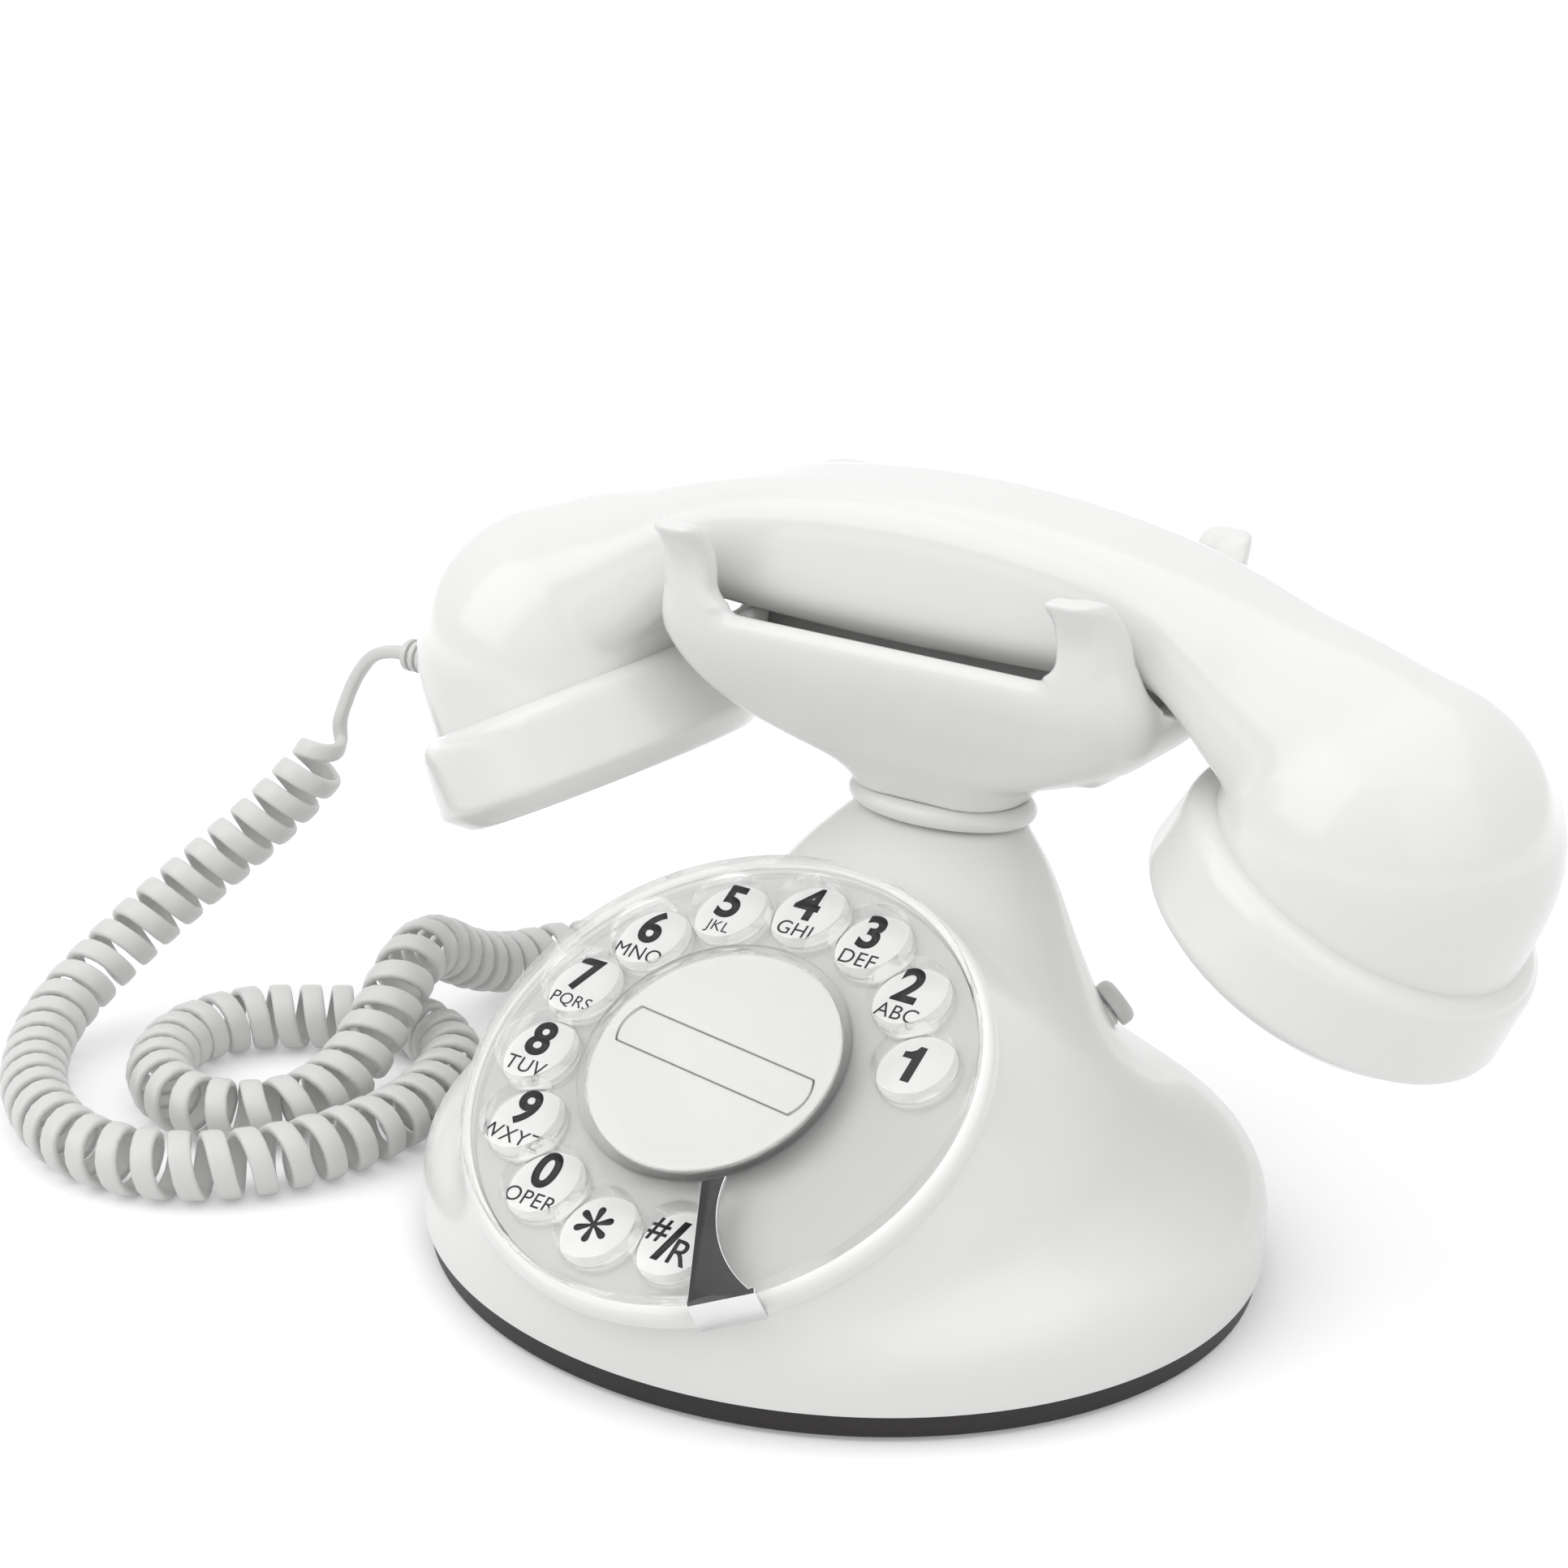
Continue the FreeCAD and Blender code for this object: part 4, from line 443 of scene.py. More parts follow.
def smooth_copy(node, name):
    """A copy of a solid's mesh, its points merged and its own normals cleared, that takes its place."""
    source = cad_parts[node]
    piece = bpy.data.objects.new(name, source.data.copy())
    bpy.context.scene.collection.objects.link(piece)
    piece.data.materials.clear()
    select_only(piece)
    bpy.ops.object.mode_set(mode="EDIT")
    bpy.ops.mesh.select_all(action="SELECT")
    bpy.ops.mesh.remove_doubles(threshold=COPY_MERGE)
    bpy.ops.object.mode_set(mode="OBJECT")
    bpy.ops.mesh.customdata_custom_splitnormals_clear()
    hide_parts(node)
    return piece


plate = smooth_copy("base_plate", "dark_base")
smooth_by_angle(plate, degrees=35)
plate.data.materials.append(dark_plastic)
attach(plate, "base")


def paint_node(node, paint):
    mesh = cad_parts[node].data
    mesh.materials.clear()
    mesh.materials.append(paint)


paint_node("rubber_feet", foot_rubber)

# Body shell: one glossy white moulding, an upright oval rim that sweeps up as a trumpet to the neck
# and carries the dial on a slanted round housing. The housing runs smoothly into the trumpet, the shell
# is hollow, and its rim stands on the base plate.
WALL = 2.8
RIM_RX = 72.6
RIM_RY = 68.4
RIM_LOW = 5.0
RIM_HIGH = 16.0
NECK_RX = 15.6
NECK_RY = 9.8
NECK_Y = 28.5
NECK_HIGH = 68.5
SOCKET_RX = 11.15
SOCKET_RY = 6.65
# Rows of the trumpet's sweep: share of its height, then how far side, front and back still stand out.
FLARE = (
    (0.0, 1.0, 1.0, 1.0),
    (0.1, 0.91, 0.90, 0.82),
    (0.2, 0.69, 0.76, 0.52),
    (0.34, 0.50, 0.60, 0.32),
    (0.6, 0.305, 0.33, 0.155),
    (0.85, 0.14, 0.12, 0.05),
    (1.0, 0.0, 0.0, 0.0),
)
DIAL_CENTRE = Vector((0, -38.5, 45.6))
DIAL_TILT = math.radians(32.1)
DIAL_AXIS = Vector((0, -math.sin(DIAL_TILT), math.cos(DIAL_TILT)))
DIAL_UP = Vector((0, math.cos(DIAL_TILT), math.sin(DIAL_TILT)))
HOUSING_TOP = -5.9
HOUSING_SEAT = -7.0
HOUSING_R = 43.7
HOUSING_SLOPE = 18.5 / 40.0
HOUSING_DEEP = -82
RIM_WALL_TOP = 90
SHELL_SIDES = 144
LEAST_WEIGHT = 0.001
CREASE_FULL = 1.4
CREASE_REACH = 16


def curve_through(rows, share, column):
    """Smooth value of a column at a share between the rows."""
    spot = 0
    while spot < len(rows) - 2 and rows[spot + 1][0] < share:
        spot += 1
    slopes = []
    for number in (spot, spot + 1):
        low = rows[max(number - 1, 0)]
        high = rows[min(number + 1, len(rows) - 1)]
        slopes.append((high[column] - low[column]) / (high[0] - low[0]))
    start, end = rows[spot], rows[spot + 1]
    width = end[0] - start[0]
    part = (share - start[0]) / width
    value = (1 + 2 * part) * (1 - part) ** 2 * start[column]
    value += part * (1 - part) ** 2 * width * slopes[0]
    value += part ** 2 * (3 - 2 * part) * end[column]
    value += part ** 2 * (part - 1) * width * slopes[1]
    return value


def trumpet_at(z):
    """Half width, half depth and middle of the trumpet's oval at a height."""
    rise = min(1.0, max(0.0, (z - RIM_HIGH) / (NECK_HIGH - RIM_HIGH)))
    side, ahead, behind = (curve_through(FLARE, rise, column) for column in (1, 2, 3))
    front = NECK_Y - NECK_RY - ahead * (NECK_Y - NECK_RY + RIM_RY)
    back = NECK_Y + NECK_RY + behind * (RIM_RY - NECK_Y - NECK_RY)
    return NECK_RX + side * (RIM_RX - NECK_RX), (back - front) / 2, (back + front) / 2


def oval_ring(rx, ry, y, z, sides):
    angles = [2 * math.pi * number / sides for number in range(sides)]
    return [Vector((rx * math.cos(angle), y + ry * math.sin(angle), z)) for angle in angles]


def trumpet_ring(z, inset, lower=0.0):
    rx, ry, y = trumpet_at(z + lower)
    return oval_ring(rx - inset, ry - inset, y, z, SHELL_SIDES)


def turned_rings(profile, centre, axis, sides):
    """Rings of a turned piece from pairs of radius and height along its axis."""
    across = axis.cross(Vector((0, 1, 0))).normalized()
    back = axis.cross(across)
    rows = []
    for radius, high in profile:
        row = []
        for number in range(sides):
            angle = 2 * math.pi * number / sides
            out = across * math.cos(angle) + back * math.sin(angle)
            row.append(centre + axis * high + out * radius)
        rows.append(row)
    return rows


def apply_modifier(piece, kind, **settings):
    select_only(piece)
    change = piece.modifiers.new(kind.lower(), kind)
    for setting, value in settings.items():
        setattr(change, setting, value)
    bpy.ops.object.modifier_apply(modifier=change.name)


def cut_away(piece, tool, solver="EXACT"):
    apply_modifier(piece, "BOOLEAN", operation="DIFFERENCE", solver=solver, object=tool)
    bpy.data.objects.remove(tool)


def join_into(target, *pieces):
    bpy.ops.object.select_all(action="DESELECT")
    for piece in pieces:
        piece.select_set(True)
    target.select_set(True)
    bpy.context.view_layer.objects.active = target
    bpy.ops.object.join()


def dial_place(x, y, z):
    """A point that is drawn with the dial axis as Z, in millimetres."""
    return DIAL_CENTRE + Vector((1, 0, 0)) * x + DIAL_UP * y + DIAL_AXIS * z


def housing_r(deep):
    return HOUSING_R + HOUSING_SLOPE * (HOUSING_SEAT - deep)


def dial_housing(name, top, inset, low):
    """The slanted cone under the dial, trimmed by the upright rim."""
    foot_r = housing_r(HOUSING_DEEP) - inset
    profile = [(0, top), (housing_r(top) - inset, top), (foot_r, HOUSING_DEEP), (0, HOUSING_DEEP)]
    cone = wrapped_grid(name, turned_rings(profile, DIAL_CENTRE, DIAL_AXIS, SHELL_SIDES))
    ends = (low, RIM_WALL_TOP)
    rim_walls = [oval_ring(RIM_RX - inset, RIM_RY - inset, 0, z, SHELL_SIDES) for z in ends]
    rim = wrapped_grid("rim_walls", rim_walls)
    apply_modifier(cone, "BOOLEAN", operation="INTERSECT", solver="EXACT", object=rim)
    bpy.data.objects.remove(rim)
    return cone


def weigh(piece, name, rule):
    """Gives every point of a piece a weight by its place in millimetres."""
    group = piece.vertex_groups.new(name=name)
    for point in piece.data.vertices:
        weight = rule(point.co / MM)
        if weight > LEAST_WEIGHT:
            group.add([point.index], weight, "REPLACE")
    return name


def near_crease(place):
    """1 where the housing meets the trumpet, falling to 0 away from there and at the dial's seat."""
    rx, ry, y = trumpet_at(place.z)
    to_trumpet = (math.hypot(place.x / rx, (place.y - y) / ry) - 1) * min(rx, ry)
    from_dial = place - DIAL_CENTRE
    deep = from_dial.dot(DIAL_AXIS)
    to_housing = (from_dial - DIAL_AXIS * deep).length - housing_r(deep)
    close = smooth_share(CREASE_FULL - max(abs(to_trumpet), abs(to_housing)) / CREASE_REACH)
    under_seat = fade(deep, start=-7.5, over=-5)
    over_rim = fade(place.z, start=11, over=5)
    return close * under_seat * over_rim


BODY_SPARE = 4.0
BODY_ROWS = 56
BODY_VOXEL = 0.00085
TRIM_SIZE = 0.4
ROOM_SPARE = 2
ROOM_LEVELS = range(8, 58, 2)
ROOM_LOWER = 2.6
SOCKET_FOOT = 50
SOCKET_SIDES = 64
heights = [RIM_LOW - BODY_SPARE, RIM_HIGH]
heights += [RIM_HIGH + (NECK_HIGH - RIM_HIGH) * row / BODY_ROWS for row in range(1, BODY_ROWS + 1)]
shell = wrapped_grid("white_body", [trumpet_ring(z, 0) for z in heights])
join_into(shell, dial_housing("dial_housing", HOUSING_TOP, 0, RIM_LOW - BODY_SPARE))
apply_modifier(shell, "REMESH", mode="VOXEL", voxel_size=BODY_VOXEL)
apply_modifier(shell, "SMOOTH", factor=0.5, iterations=5)
crease = weigh(shell, "crease", near_crease)
apply_modifier(shell, "SMOOTH", factor=0.5, iterations=160, vertex_group=crease)
bpy.ops.object.select_all(action="DESELECT")
bpy.ops.mesh.primitive_cube_add(size=TRIM_SIZE, location=(0, 0, RIM_LOW * MM - TRIM_SIZE / 2))
cut_away(shell, bpy.context.active_object, "MANIFOLD")
room_heights = (RIM_LOW - ROOM_SPARE, *ROOM_LEVELS)
room = wrapped_grid("body_room", [trumpet_ring(z, WALL, ROOM_LOWER) for z in room_heights])
cut_away(shell, room, "MANIFOLD")
dial_room = dial_housing("dial_room", HOUSING_TOP - WALL, WALL, RIM_LOW - ROOM_SPARE)
cut_away(shell, dial_room, "MANIFOLD")
socket_ends = (SOCKET_FOOT, NECK_HIGH + ROOM_SPARE)
socket_rows = [oval_ring(SOCKET_RX, SOCKET_RY, NECK_Y, z, SOCKET_SIDES) for z in socket_ends]
cut_away(shell, wrapped_grid("socket", socket_rows), "MANIFOLD")
DIAL_TURN = Matrix.Rotation(DIAL_TILT, 4, "X")
DIAL_HOLE_R = 36.0
KNOB_HOLE_R = 2.0
KNOB_HOLE_PLACE = (30.0, 36.0, 36.2)
HOLE_DEPTH = 16
DRILL_SIDES = 64
JACK_WINDOW = (14.3, 20, 14)
JACK_PLACE = (0, 66, 8.15)


def drill(radius, depth, place, turn):
    bpy.ops.object.select_all(action="DESELECT")
    bpy.ops.mesh.primitive_cylinder_add(vertices=DRILL_SIDES, radius=radius * MM, depth=depth * MM)
    tool = bpy.context.active_object
    tool.matrix_world = Matrix.Translation(Vector(place) * MM) @ turn
    return tool


KNOB_AXIS = Vector((0.5267, 0.6277, 0.5736))
KNOB_TURN = KNOB_AXIS.to_track_quat("Z", "Y").to_matrix().to_4x4()
dial_drill = drill(DIAL_HOLE_R, HOLE_DEPTH, dial_place(0, 0, HOUSING_TOP), DIAL_TURN)
cut_away(shell, dial_drill, "MANIFOLD")
cut_away(shell, drill(KNOB_HOLE_R, HOLE_DEPTH, KNOB_HOLE_PLACE, KNOB_TURN), "MANIFOLD")
bpy.ops.object.select_all(action="DESELECT")
bpy.ops.mesh.primitive_cube_add(size=1)
jack_window = bpy.context.active_object
jack_window.scale = [side * MM for side in JACK_WINDOW]
jack_window.location = [axis * MM for axis in JACK_PLACE]
cut_away(shell, jack_window, "MANIFOLD")
smooth_by_angle(shell, degrees=38)
body_plastic = moulded_plastic(
    "body_white_plastic",
    (0.82, 0.82, 0.81),
    roughness=0.24,
    coat=0.18,
    grain=260,
    grain_depth=0.02,
)
shell.data.materials.clear()
shell.data.materials.append(body_plastic)
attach(shell, "base")
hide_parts("body_shell")

# Neck ring: a rounded band in the same white plastic, slipped over the cradle's stem and held
# between the neck and the cradle. A half round is swept along the neck's oval.
RING_BULGE = 1.9
RING_STEPS = 14
RING_SIDES = 96
ring_rows = []
for number in range(RING_STEPS + 1):
    angle = math.pi * (number / RING_STEPS - 0.5)
    bulge = RING_BULGE * math.cos(angle)
    z = NECK_HIGH + RING_BULGE + RING_BULGE * math.sin(angle)
    ring_rows.append(oval_ring(NECK_RX + bulge, NECK_RY + bulge, NECK_Y, z, RING_SIDES))
for z in (NECK_HIGH + 2 * RING_BULGE, NECK_HIGH):
    ring_rows.append(oval_ring(SOCKET_RX, SOCKET_RY, NECK_Y, z, RING_SIDES))
neck_ring = wrapped_grid("neck_band", ring_rows + ring_rows[:1], "open")
smooth_by_angle(neck_ring, degrees=50)
neck_ring.data.materials.append(body_plastic)
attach(neck_ring, "base")
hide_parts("neck_ring")

# Cradle: a boat-shaped moulding in the same white plastic with a prong at each corner, its stem
# screwed into the neck. The edges are softly rounded, and the lips of the prongs bend outwards.
CRADLE_VOXEL = 0.0007
HULL_LOW = 76
HULL_SWELL = 0.0006
ROD_ROOM = 6
cradle = smooth_copy("cradle", "white_cradle")
apply_modifier(cradle, "REMESH", mode="VOXEL", voxel_size=CRADLE_VOXEL)


def away_from_rod(place):
    """1 on the hull and the prongs, 0 round the hook's rod and on the stem in the neck."""
    from_rod = math.hypot(place.x, place.y - NECK_Y)
    return fade(place.z, HULL_LOW, over=6) * fade(from_rod, ROD_ROOM, over=6)


hull = weigh(cradle, "hull", away_from_rod)
apply_modifier(cradle, "DISPLACE", strength=HULL_SWELL, mid_level=0.0, vertex_group=hull)
apply_modifier(cradle, "SMOOTH", factor=0.5, iterations=14, vertex_group=hull)
PRONG_LIP = 3.8
PRONG_SPREAD = 1.6
HULL_FULLER = 2.4
HULL_HIGH = 108
LIP_FOOT = 107.5
LIP_HIGH = 10.5
PRONG_FOOT = 101
PRONG_INNER = 14
PRONG_OUTER = 44
for point in cradle.data.vertices:
    out = abs(point.co.x) / MM
    high = point.co.z / MM
    up_lip = min(1.0, max(0.0, (high - LIP_FOOT) / LIP_HIGH))
    lip = up_lip ** 2 * fade(out, start=16, over=8)
    across_prong = fade(out, PRONG_OUTER, over=-11) * fade(out, PRONG_INNER, over=10)
    inner = across_prong * fade(high, PRONG_FOOT, over=6)
    along_hull = fade(out, PRONG_INNER, over=16)
    corner = along_hull * fade(high, HULL_LOW, over=10) * fade(high, HULL_HIGH, over=-12)
    wider = HULL_FULLER * corner - PRONG_SPREAD * inner
    point.co.x += math.copysign(wider * MM, point.co.x)
    point.co.y += math.copysign(PRONG_LIP * lip * MM, point.co.y - NECK_Y * MM)
smooth_by_angle(cradle, degrees=75)
cradle.data.materials.clear()
cradle.data.materials.append(body_plastic)
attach(cradle, "base")

# Line jack and cord grommet: a grey moulded socket that stands behind the window at the back, and a
# soft pale sleeve pressed into the rim at the left rear, where the handset cord goes in.
grey_plastic = moulded_plastic(
    "grey_matt_plastic",
    (0.40, 0.40, 0.40),
    roughness=0.5,
    coat=0.0,
    grain=1200,
    grain_depth=0.1,
)
paint_node("line_jack", grey_plastic)
paint_node("cord_grommet", cord_plastic)

# Dial bezel: a turned ring in the same white plastic, seated on the housing round the number plate.
# Its outer edge is rounded, and a ledge inside it carries the plate.
BEZEL_R = 44.3
BEZEL_TOP = -3.9
BEZEL_ROUND = 1.6
BEZEL_STEPS = 8
BEZEL_EDGE = 0.3
BEZEL_BORE = 37.0
LEDGE_R = 41.7
LEDGE_TOP = -5.6
LEDGE_EDGE = 0.2
DIAL_SIDES = 192
bezel_profile = [
    (BEZEL_BORE, HOUSING_SEAT),
    (BEZEL_R - BEZEL_EDGE, HOUSING_SEAT),
    (BEZEL_R, HOUSING_SEAT + BEZEL_EDGE),
]
for number in range(BEZEL_STEPS + 1):
    angle = math.pi / 2 * number / BEZEL_STEPS
    out = BEZEL_R - BEZEL_ROUND + BEZEL_ROUND * math.cos(angle)
    bezel_profile.append((out, BEZEL_TOP - BEZEL_ROUND + BEZEL_ROUND * math.sin(angle)))
bezel_profile += [
    (LEDGE_R + LEDGE_EDGE, BEZEL_TOP),
    (LEDGE_R, BEZEL_TOP - LEDGE_EDGE),
    (LEDGE_R, LEDGE_TOP),
    (BEZEL_BORE, LEDGE_TOP),
]
bezel_profile.append(bezel_profile[0])
bezel_rings = turned_rings(bezel_profile, DIAL_CENTRE, DIAL_AXIS, DIAL_SIDES)
bezel = wrapped_grid("white_bezel", bezel_rings, "open")
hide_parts("dial_bezel")
smooth_by_angle(bezel, degrees=40)
bezel.data.materials.append(body_plastic)
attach(bezel, "base")

# Number plate: a pale grey moulded disc that lies on the bezel's ledge under the clear wheel, with a
# white spot under each finger hole, and black figures and letters printed on the spots.
plate_grey = moulded_plastic(
    "number_plate_grey",
    (0.52, 0.52, 0.52),
    roughness=0.3,
    coat=0.3,
    grain=500,
    grain_depth=0.02,
)
number_plate = smooth_copy("number_plate", "pale_number_plate")
smooth_by_angle(number_plate, degrees=40)
number_plate.data.materials.append(plate_grey)
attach(number_plate, "base")
HOLE_RING = 32.4
HOLE_R = 6.6
HOLE_FIRST = 19.6
HOLE_STEP = 24.49
PLATE_TOP = -4.4
SPOT_R = 6.7
SPOT_TOP = -3.7
SPOT_SIDES = 64
SPOT_EDGE = 0.12
PRINT_SHIFT = (-2.0, 1.0)
PRINT_THICK = 0.05
TYPE_SIZE = 0.01
TYPE_SPACE = 1.05
FIGURES = (
    ("1", ""),
    ("2", "ABC"),
    ("3", "DEF"),
    ("4", "GHI"),
    ("5", "JKL"),
    ("6", "MNO"),
    ("7", "PQRS"),
    ("8", "TUV"),
    ("9", "WXYZ"),
    ("0", "OPER"),
    ("*", ""),
    ("/", ""),
)
spot_white = moulded_plastic(
    "number_spot_white",
    (0.78, 0.78, 0.77),
    roughness=0.3,
    coat=0.3,
    grain=500,
    grain_depth=0.02,
)
print_black = moulded_plastic(
    "print_black",
    (0.008, 0.008, 0.008),
    roughness=0.5,
    coat=0.0,
    grain=1500,
    grain_depth=0.05,
)
DIAL_FRAME = Matrix.Translation(DIAL_CENTRE * MM) @ DIAL_TURN


def put_on_dial(piece, x, y, z, turn=0.0):
    """Moves a piece that is drawn flat round the origin, in metres, to its place on the dial."""
    place = Matrix.Translation(Vector((x, y, z)) * MM)
    piece.data.transform(DIAL_FRAME @ place @ Matrix.Rotation(turn, 4, "Z"))
    piece.data.update()


def hole_place(number):
    """Where a finger hole stands on the dial at rest, counted from the first."""
    angle = math.radians(HOLE_FIRST + HOLE_STEP * number)
    return HOLE_RING * math.cos(angle), HOLE_RING * math.sin(angle)


def printed_word(name, word, high, x, y, bold):
    """A word of black print of the given height, centred on a place on the spots."""
    bpy.ops.object.select_all(action="DESELECT")
    bpy.ops.object.text_add()
    text = bpy.context.active_object
    text.name = name
    text.data.body = word
    text.data.size = TYPE_SIZE
    text.data.offset = bold * MM
    text.data.space_character = TYPE_SPACE
    bpy.ops.object.convert(target="MESH")
    text = bpy.context.active_object
    xs = [point.co.x for point in text.data.vertices]
    ys = [point.co.y for point in text.data.vertices]
    grow = high * MM / (max(ys) - min(ys))
    middle = Vector(((min(xs) + max(xs)) / 2, (min(ys) + max(ys)) / 2, 0))
    text.data.transform(Matrix.Scale(grow, 4) @ Matrix.Translation(-middle))
    apply_modifier(text, "SOLIDIFY", thickness=PRINT_THICK * MM, offset=0.0)
    put_on_dial(text, x, y, SPOT_TOP)
    text.data.materials.clear()
    text.data.materials.append(print_black)
    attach(text, "base")


ONE_OUTLINE = (
    (-0.1, -3.4),
    (1.5, -3.4),
    (1.5, 3.4),
    (0.3, 3.4),
    (-0.1, 2.6),
    (-0.8, 2.1),
    (-1.8, 1.9),
    (-1.8, 0.8),
    (-0.1, 0.8),
)


def print_outline(name, outline, x, y):
    """A figure of black print from its own outline, for the one that needs a flag."""
    bpy.ops.object.select_all(action="DESELECT")
    bpy.ops.mesh.primitive_circle_add(vertices=len(outline), fill_type="NGON")
    figure = bpy.context.active_object
    figure.name = name
    for point, place in zip(figure.data.vertices, outline):
        point.co = (place[0] * MM, place[1] * MM, 0)
    apply_modifier(figure, "SOLIDIFY", thickness=PRINT_THICK * MM, offset=0.0)
    put_on_dial(figure, x, y, SPOT_TOP)
    figure.data.materials.append(print_black)
    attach(figure, "base")


def flat_disc(name, radius, thick, sides):
    bpy.ops.object.select_all(action="DESELECT")
    bpy.ops.mesh.primitive_cylinder_add(vertices=sides, radius=radius * MM, depth=thick * MM)
    disc = bpy.context.active_object
    disc.name = name
    apply_modifier(disc, "BEVEL", width=SPOT_EDGE * MM, segments=2, limit_method="ANGLE")
    smooth_by_angle(disc, degrees=40)
    return disc


def twin_of(piece, name):
    twin = bpy.data.objects.new(name, piece.data.copy())
    bpy.context.scene.collection.objects.link(twin)
    return twin


spot_pattern = flat_disc("number_spot", SPOT_R, SPOT_TOP - PLATE_TOP, SPOT_SIDES)
spot_pattern.data.materials.append(spot_white)
for number, (figure, letters) in enumerate(FIGURES):
    x, y = hole_place(number)
    spot_disc = twin_of(spot_pattern, f"number_spot_{number}")
    put_on_dial(spot_disc, x, y, (SPOT_TOP + PLATE_TOP) / 2)
    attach(spot_disc, "base")
    x += PRINT_SHIFT[0]
    y += PRINT_SHIFT[1]
    if letters:
        printed_word(f"figure_{number}", figure, high=6.8, x=x, y=y + 1.9, bold=0.32)
        printed_word(f"letters_{number}", letters, high=2.7, x=x + 0.3, y=y - 3.6, bold=0.0)
    elif figure == "*":
        printed_word(f"figure_{number}", figure, high=6.6, x=x, y=y, bold=0.1)
    elif figure == "/":
        printed_word(f"figure_{number}", figure, high=7.6, x=x, y=y, bold=0.3)
        hash_x, hash_y = x, y
    else:
        print_outline(f"figure_{number}", ONE_OUTLINE, x, y)
bpy.data.objects.remove(spot_pattern)
printed_word("figure_hash", "#", high=4.2, x=hash_x - 2.9, y=hash_y + 1.2, bold=0.15)
printed_word("figure_recall", "R", high=4.4, x=hash_x + 2.7, y=hash_y - 1.4, bold=0.08)

# Finger wheel: a thick disc of clear acrylic, turned and drilled with twelve finger holes, that is
# screwed to the dial shaft and turns over the number plate. A raised ring in its middle holds the card.
clear_plastic = bpy.data.materials.new("clear_acrylic")
clear_plastic.use_nodes = True
clear_tree = clear_plastic.node_tree
clear_shader = clear_tree.nodes["Principled BSDF"]
clear_shader.inputs["Base Color"].default_value = (0.97, 0.97, 0.965, 1)
clear_shader.inputs["Transmission Weight"].default_value = 1.0
clear_shader.inputs["IOR"].default_value = 1.3
clear_where = clear_tree.nodes.new("ShaderNodeTexCoord")
clear_cloud = clear_tree.nodes.new("ShaderNodeTexNoise")
clear_cloud.inputs["Scale"].default_value = 60
link(clear_tree, clear_where, "Object", clear_cloud, "Vector")
clear_polish = clear_tree.nodes.new("ShaderNodeMapRange")
clear_polish.inputs["To Min"].default_value = 0.0
clear_polish.inputs["To Max"].default_value = 0.02
link(clear_tree, clear_cloud, "Fac", clear_polish, "Value")
link(clear_tree, clear_polish, "Result", clear_shader, "Roughness")
clear_pass = clear_tree.nodes.new("ShaderNodeBsdfTransparent")
clear_pass.inputs["Color"].default_value = (0.955, 0.955, 0.95, 1)
clear_path = clear_tree.nodes.new("ShaderNodeLightPath")
clear_mix = clear_tree.nodes.new("ShaderNodeMixShader")
clear_share = clear_tree.nodes.new("ShaderNodeMath")
clear_share.operation = "MAXIMUM"
clear_share.inputs[1].default_value = 0.5
link(clear_tree, clear_path, "Is Shadow Ray", clear_share, 0)
link(clear_tree, clear_share, 0, clear_mix, "Fac")
link(clear_tree, clear_shader, 0, clear_mix, 1)
link(clear_tree, clear_pass, 0, clear_mix, 2)
link(clear_tree, clear_mix, 0, clear_tree.nodes["Material Output"], "Surface")
WHEEL_R = 42.6
WHEEL_BORE = 5.2
WHEEL_THICK = 3.4
FINGER_DRILL_SIDES = 64
CARD_R = 21.0
WHEEL_PROFILE = (
    (WHEEL_BORE, -WHEEL_THICK),
    (WHEEL_R - 0.3, -WHEEL_THICK),
    (WHEEL_R, -WHEEL_THICK + 0.3),
    (WHEEL_R, -0.7),
    (WHEEL_R - 0.15, -0.4),
    (WHEEL_R - 0.35, -0.1),
    (WHEEL_R - 0.7, 0.0),
    (CARD_R + 1.8, 0.0),
    (CARD_R + 1.6, 0.2),
    (CARD_R + 1.55, 1.1),
    (CARD_R + 1.25, 1.4),
    (CARD_R + 0.5, 1.4),
    (CARD_R + 0.2, 1.1),
    (CARD_R + 0.15, 0.0),
    (WHEEL_BORE, 0.0),
    (WHEEL_BORE, -WHEEL_THICK),
)
FINGER_DRILL = (
    (0.0, -4.2),
    (HOLE_R + 0.22, -4.2),
    (HOLE_R + 0.22, -3.45),
    (HOLE_R, -3.1),
    (HOLE_R, -0.5),
    (HOLE_R + 0.07, -0.2),
    (HOLE_R + 0.2, -0.02),
    (HOLE_R + 0.25, 0.1),
    (HOLE_R + 0.25, 0.8),
    (0.0, 0.8),
)
wheel_rings = turned_rings(WHEEL_PROFILE, DIAL_CENTRE, DIAL_AXIS, DIAL_SIDES)
wheel = wrapped_grid("clear_wheel", wheel_rings, "open")
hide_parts("finger_wheel")
drill_rings = turned_rings(FINGER_DRILL, Vector(), Vector((0, 0, 1)), FINGER_DRILL_SIDES)
finger_drill = wrapped_grid("finger_drill", drill_rings)
finger_drills = []
for number in range(len(FIGURES)):
    tool = twin_of(finger_drill, f"finger_drill_{number}")
    put_on_dial(tool, *hole_place(number), 0)
    finger_drills.append(tool)
bpy.data.objects.remove(finger_drill)
join_into(*finger_drills)
cut_away(wheel, finger_drills[0], "MANIFOLD")
smooth_by_angle(wheel, degrees=35)
apply_modifier(wheel, "WEIGHTED_NORMAL", keep_sharp=True)
wheel.data.materials.clear()
wheel.data.materials.append(clear_plastic)
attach(wheel, "dial")

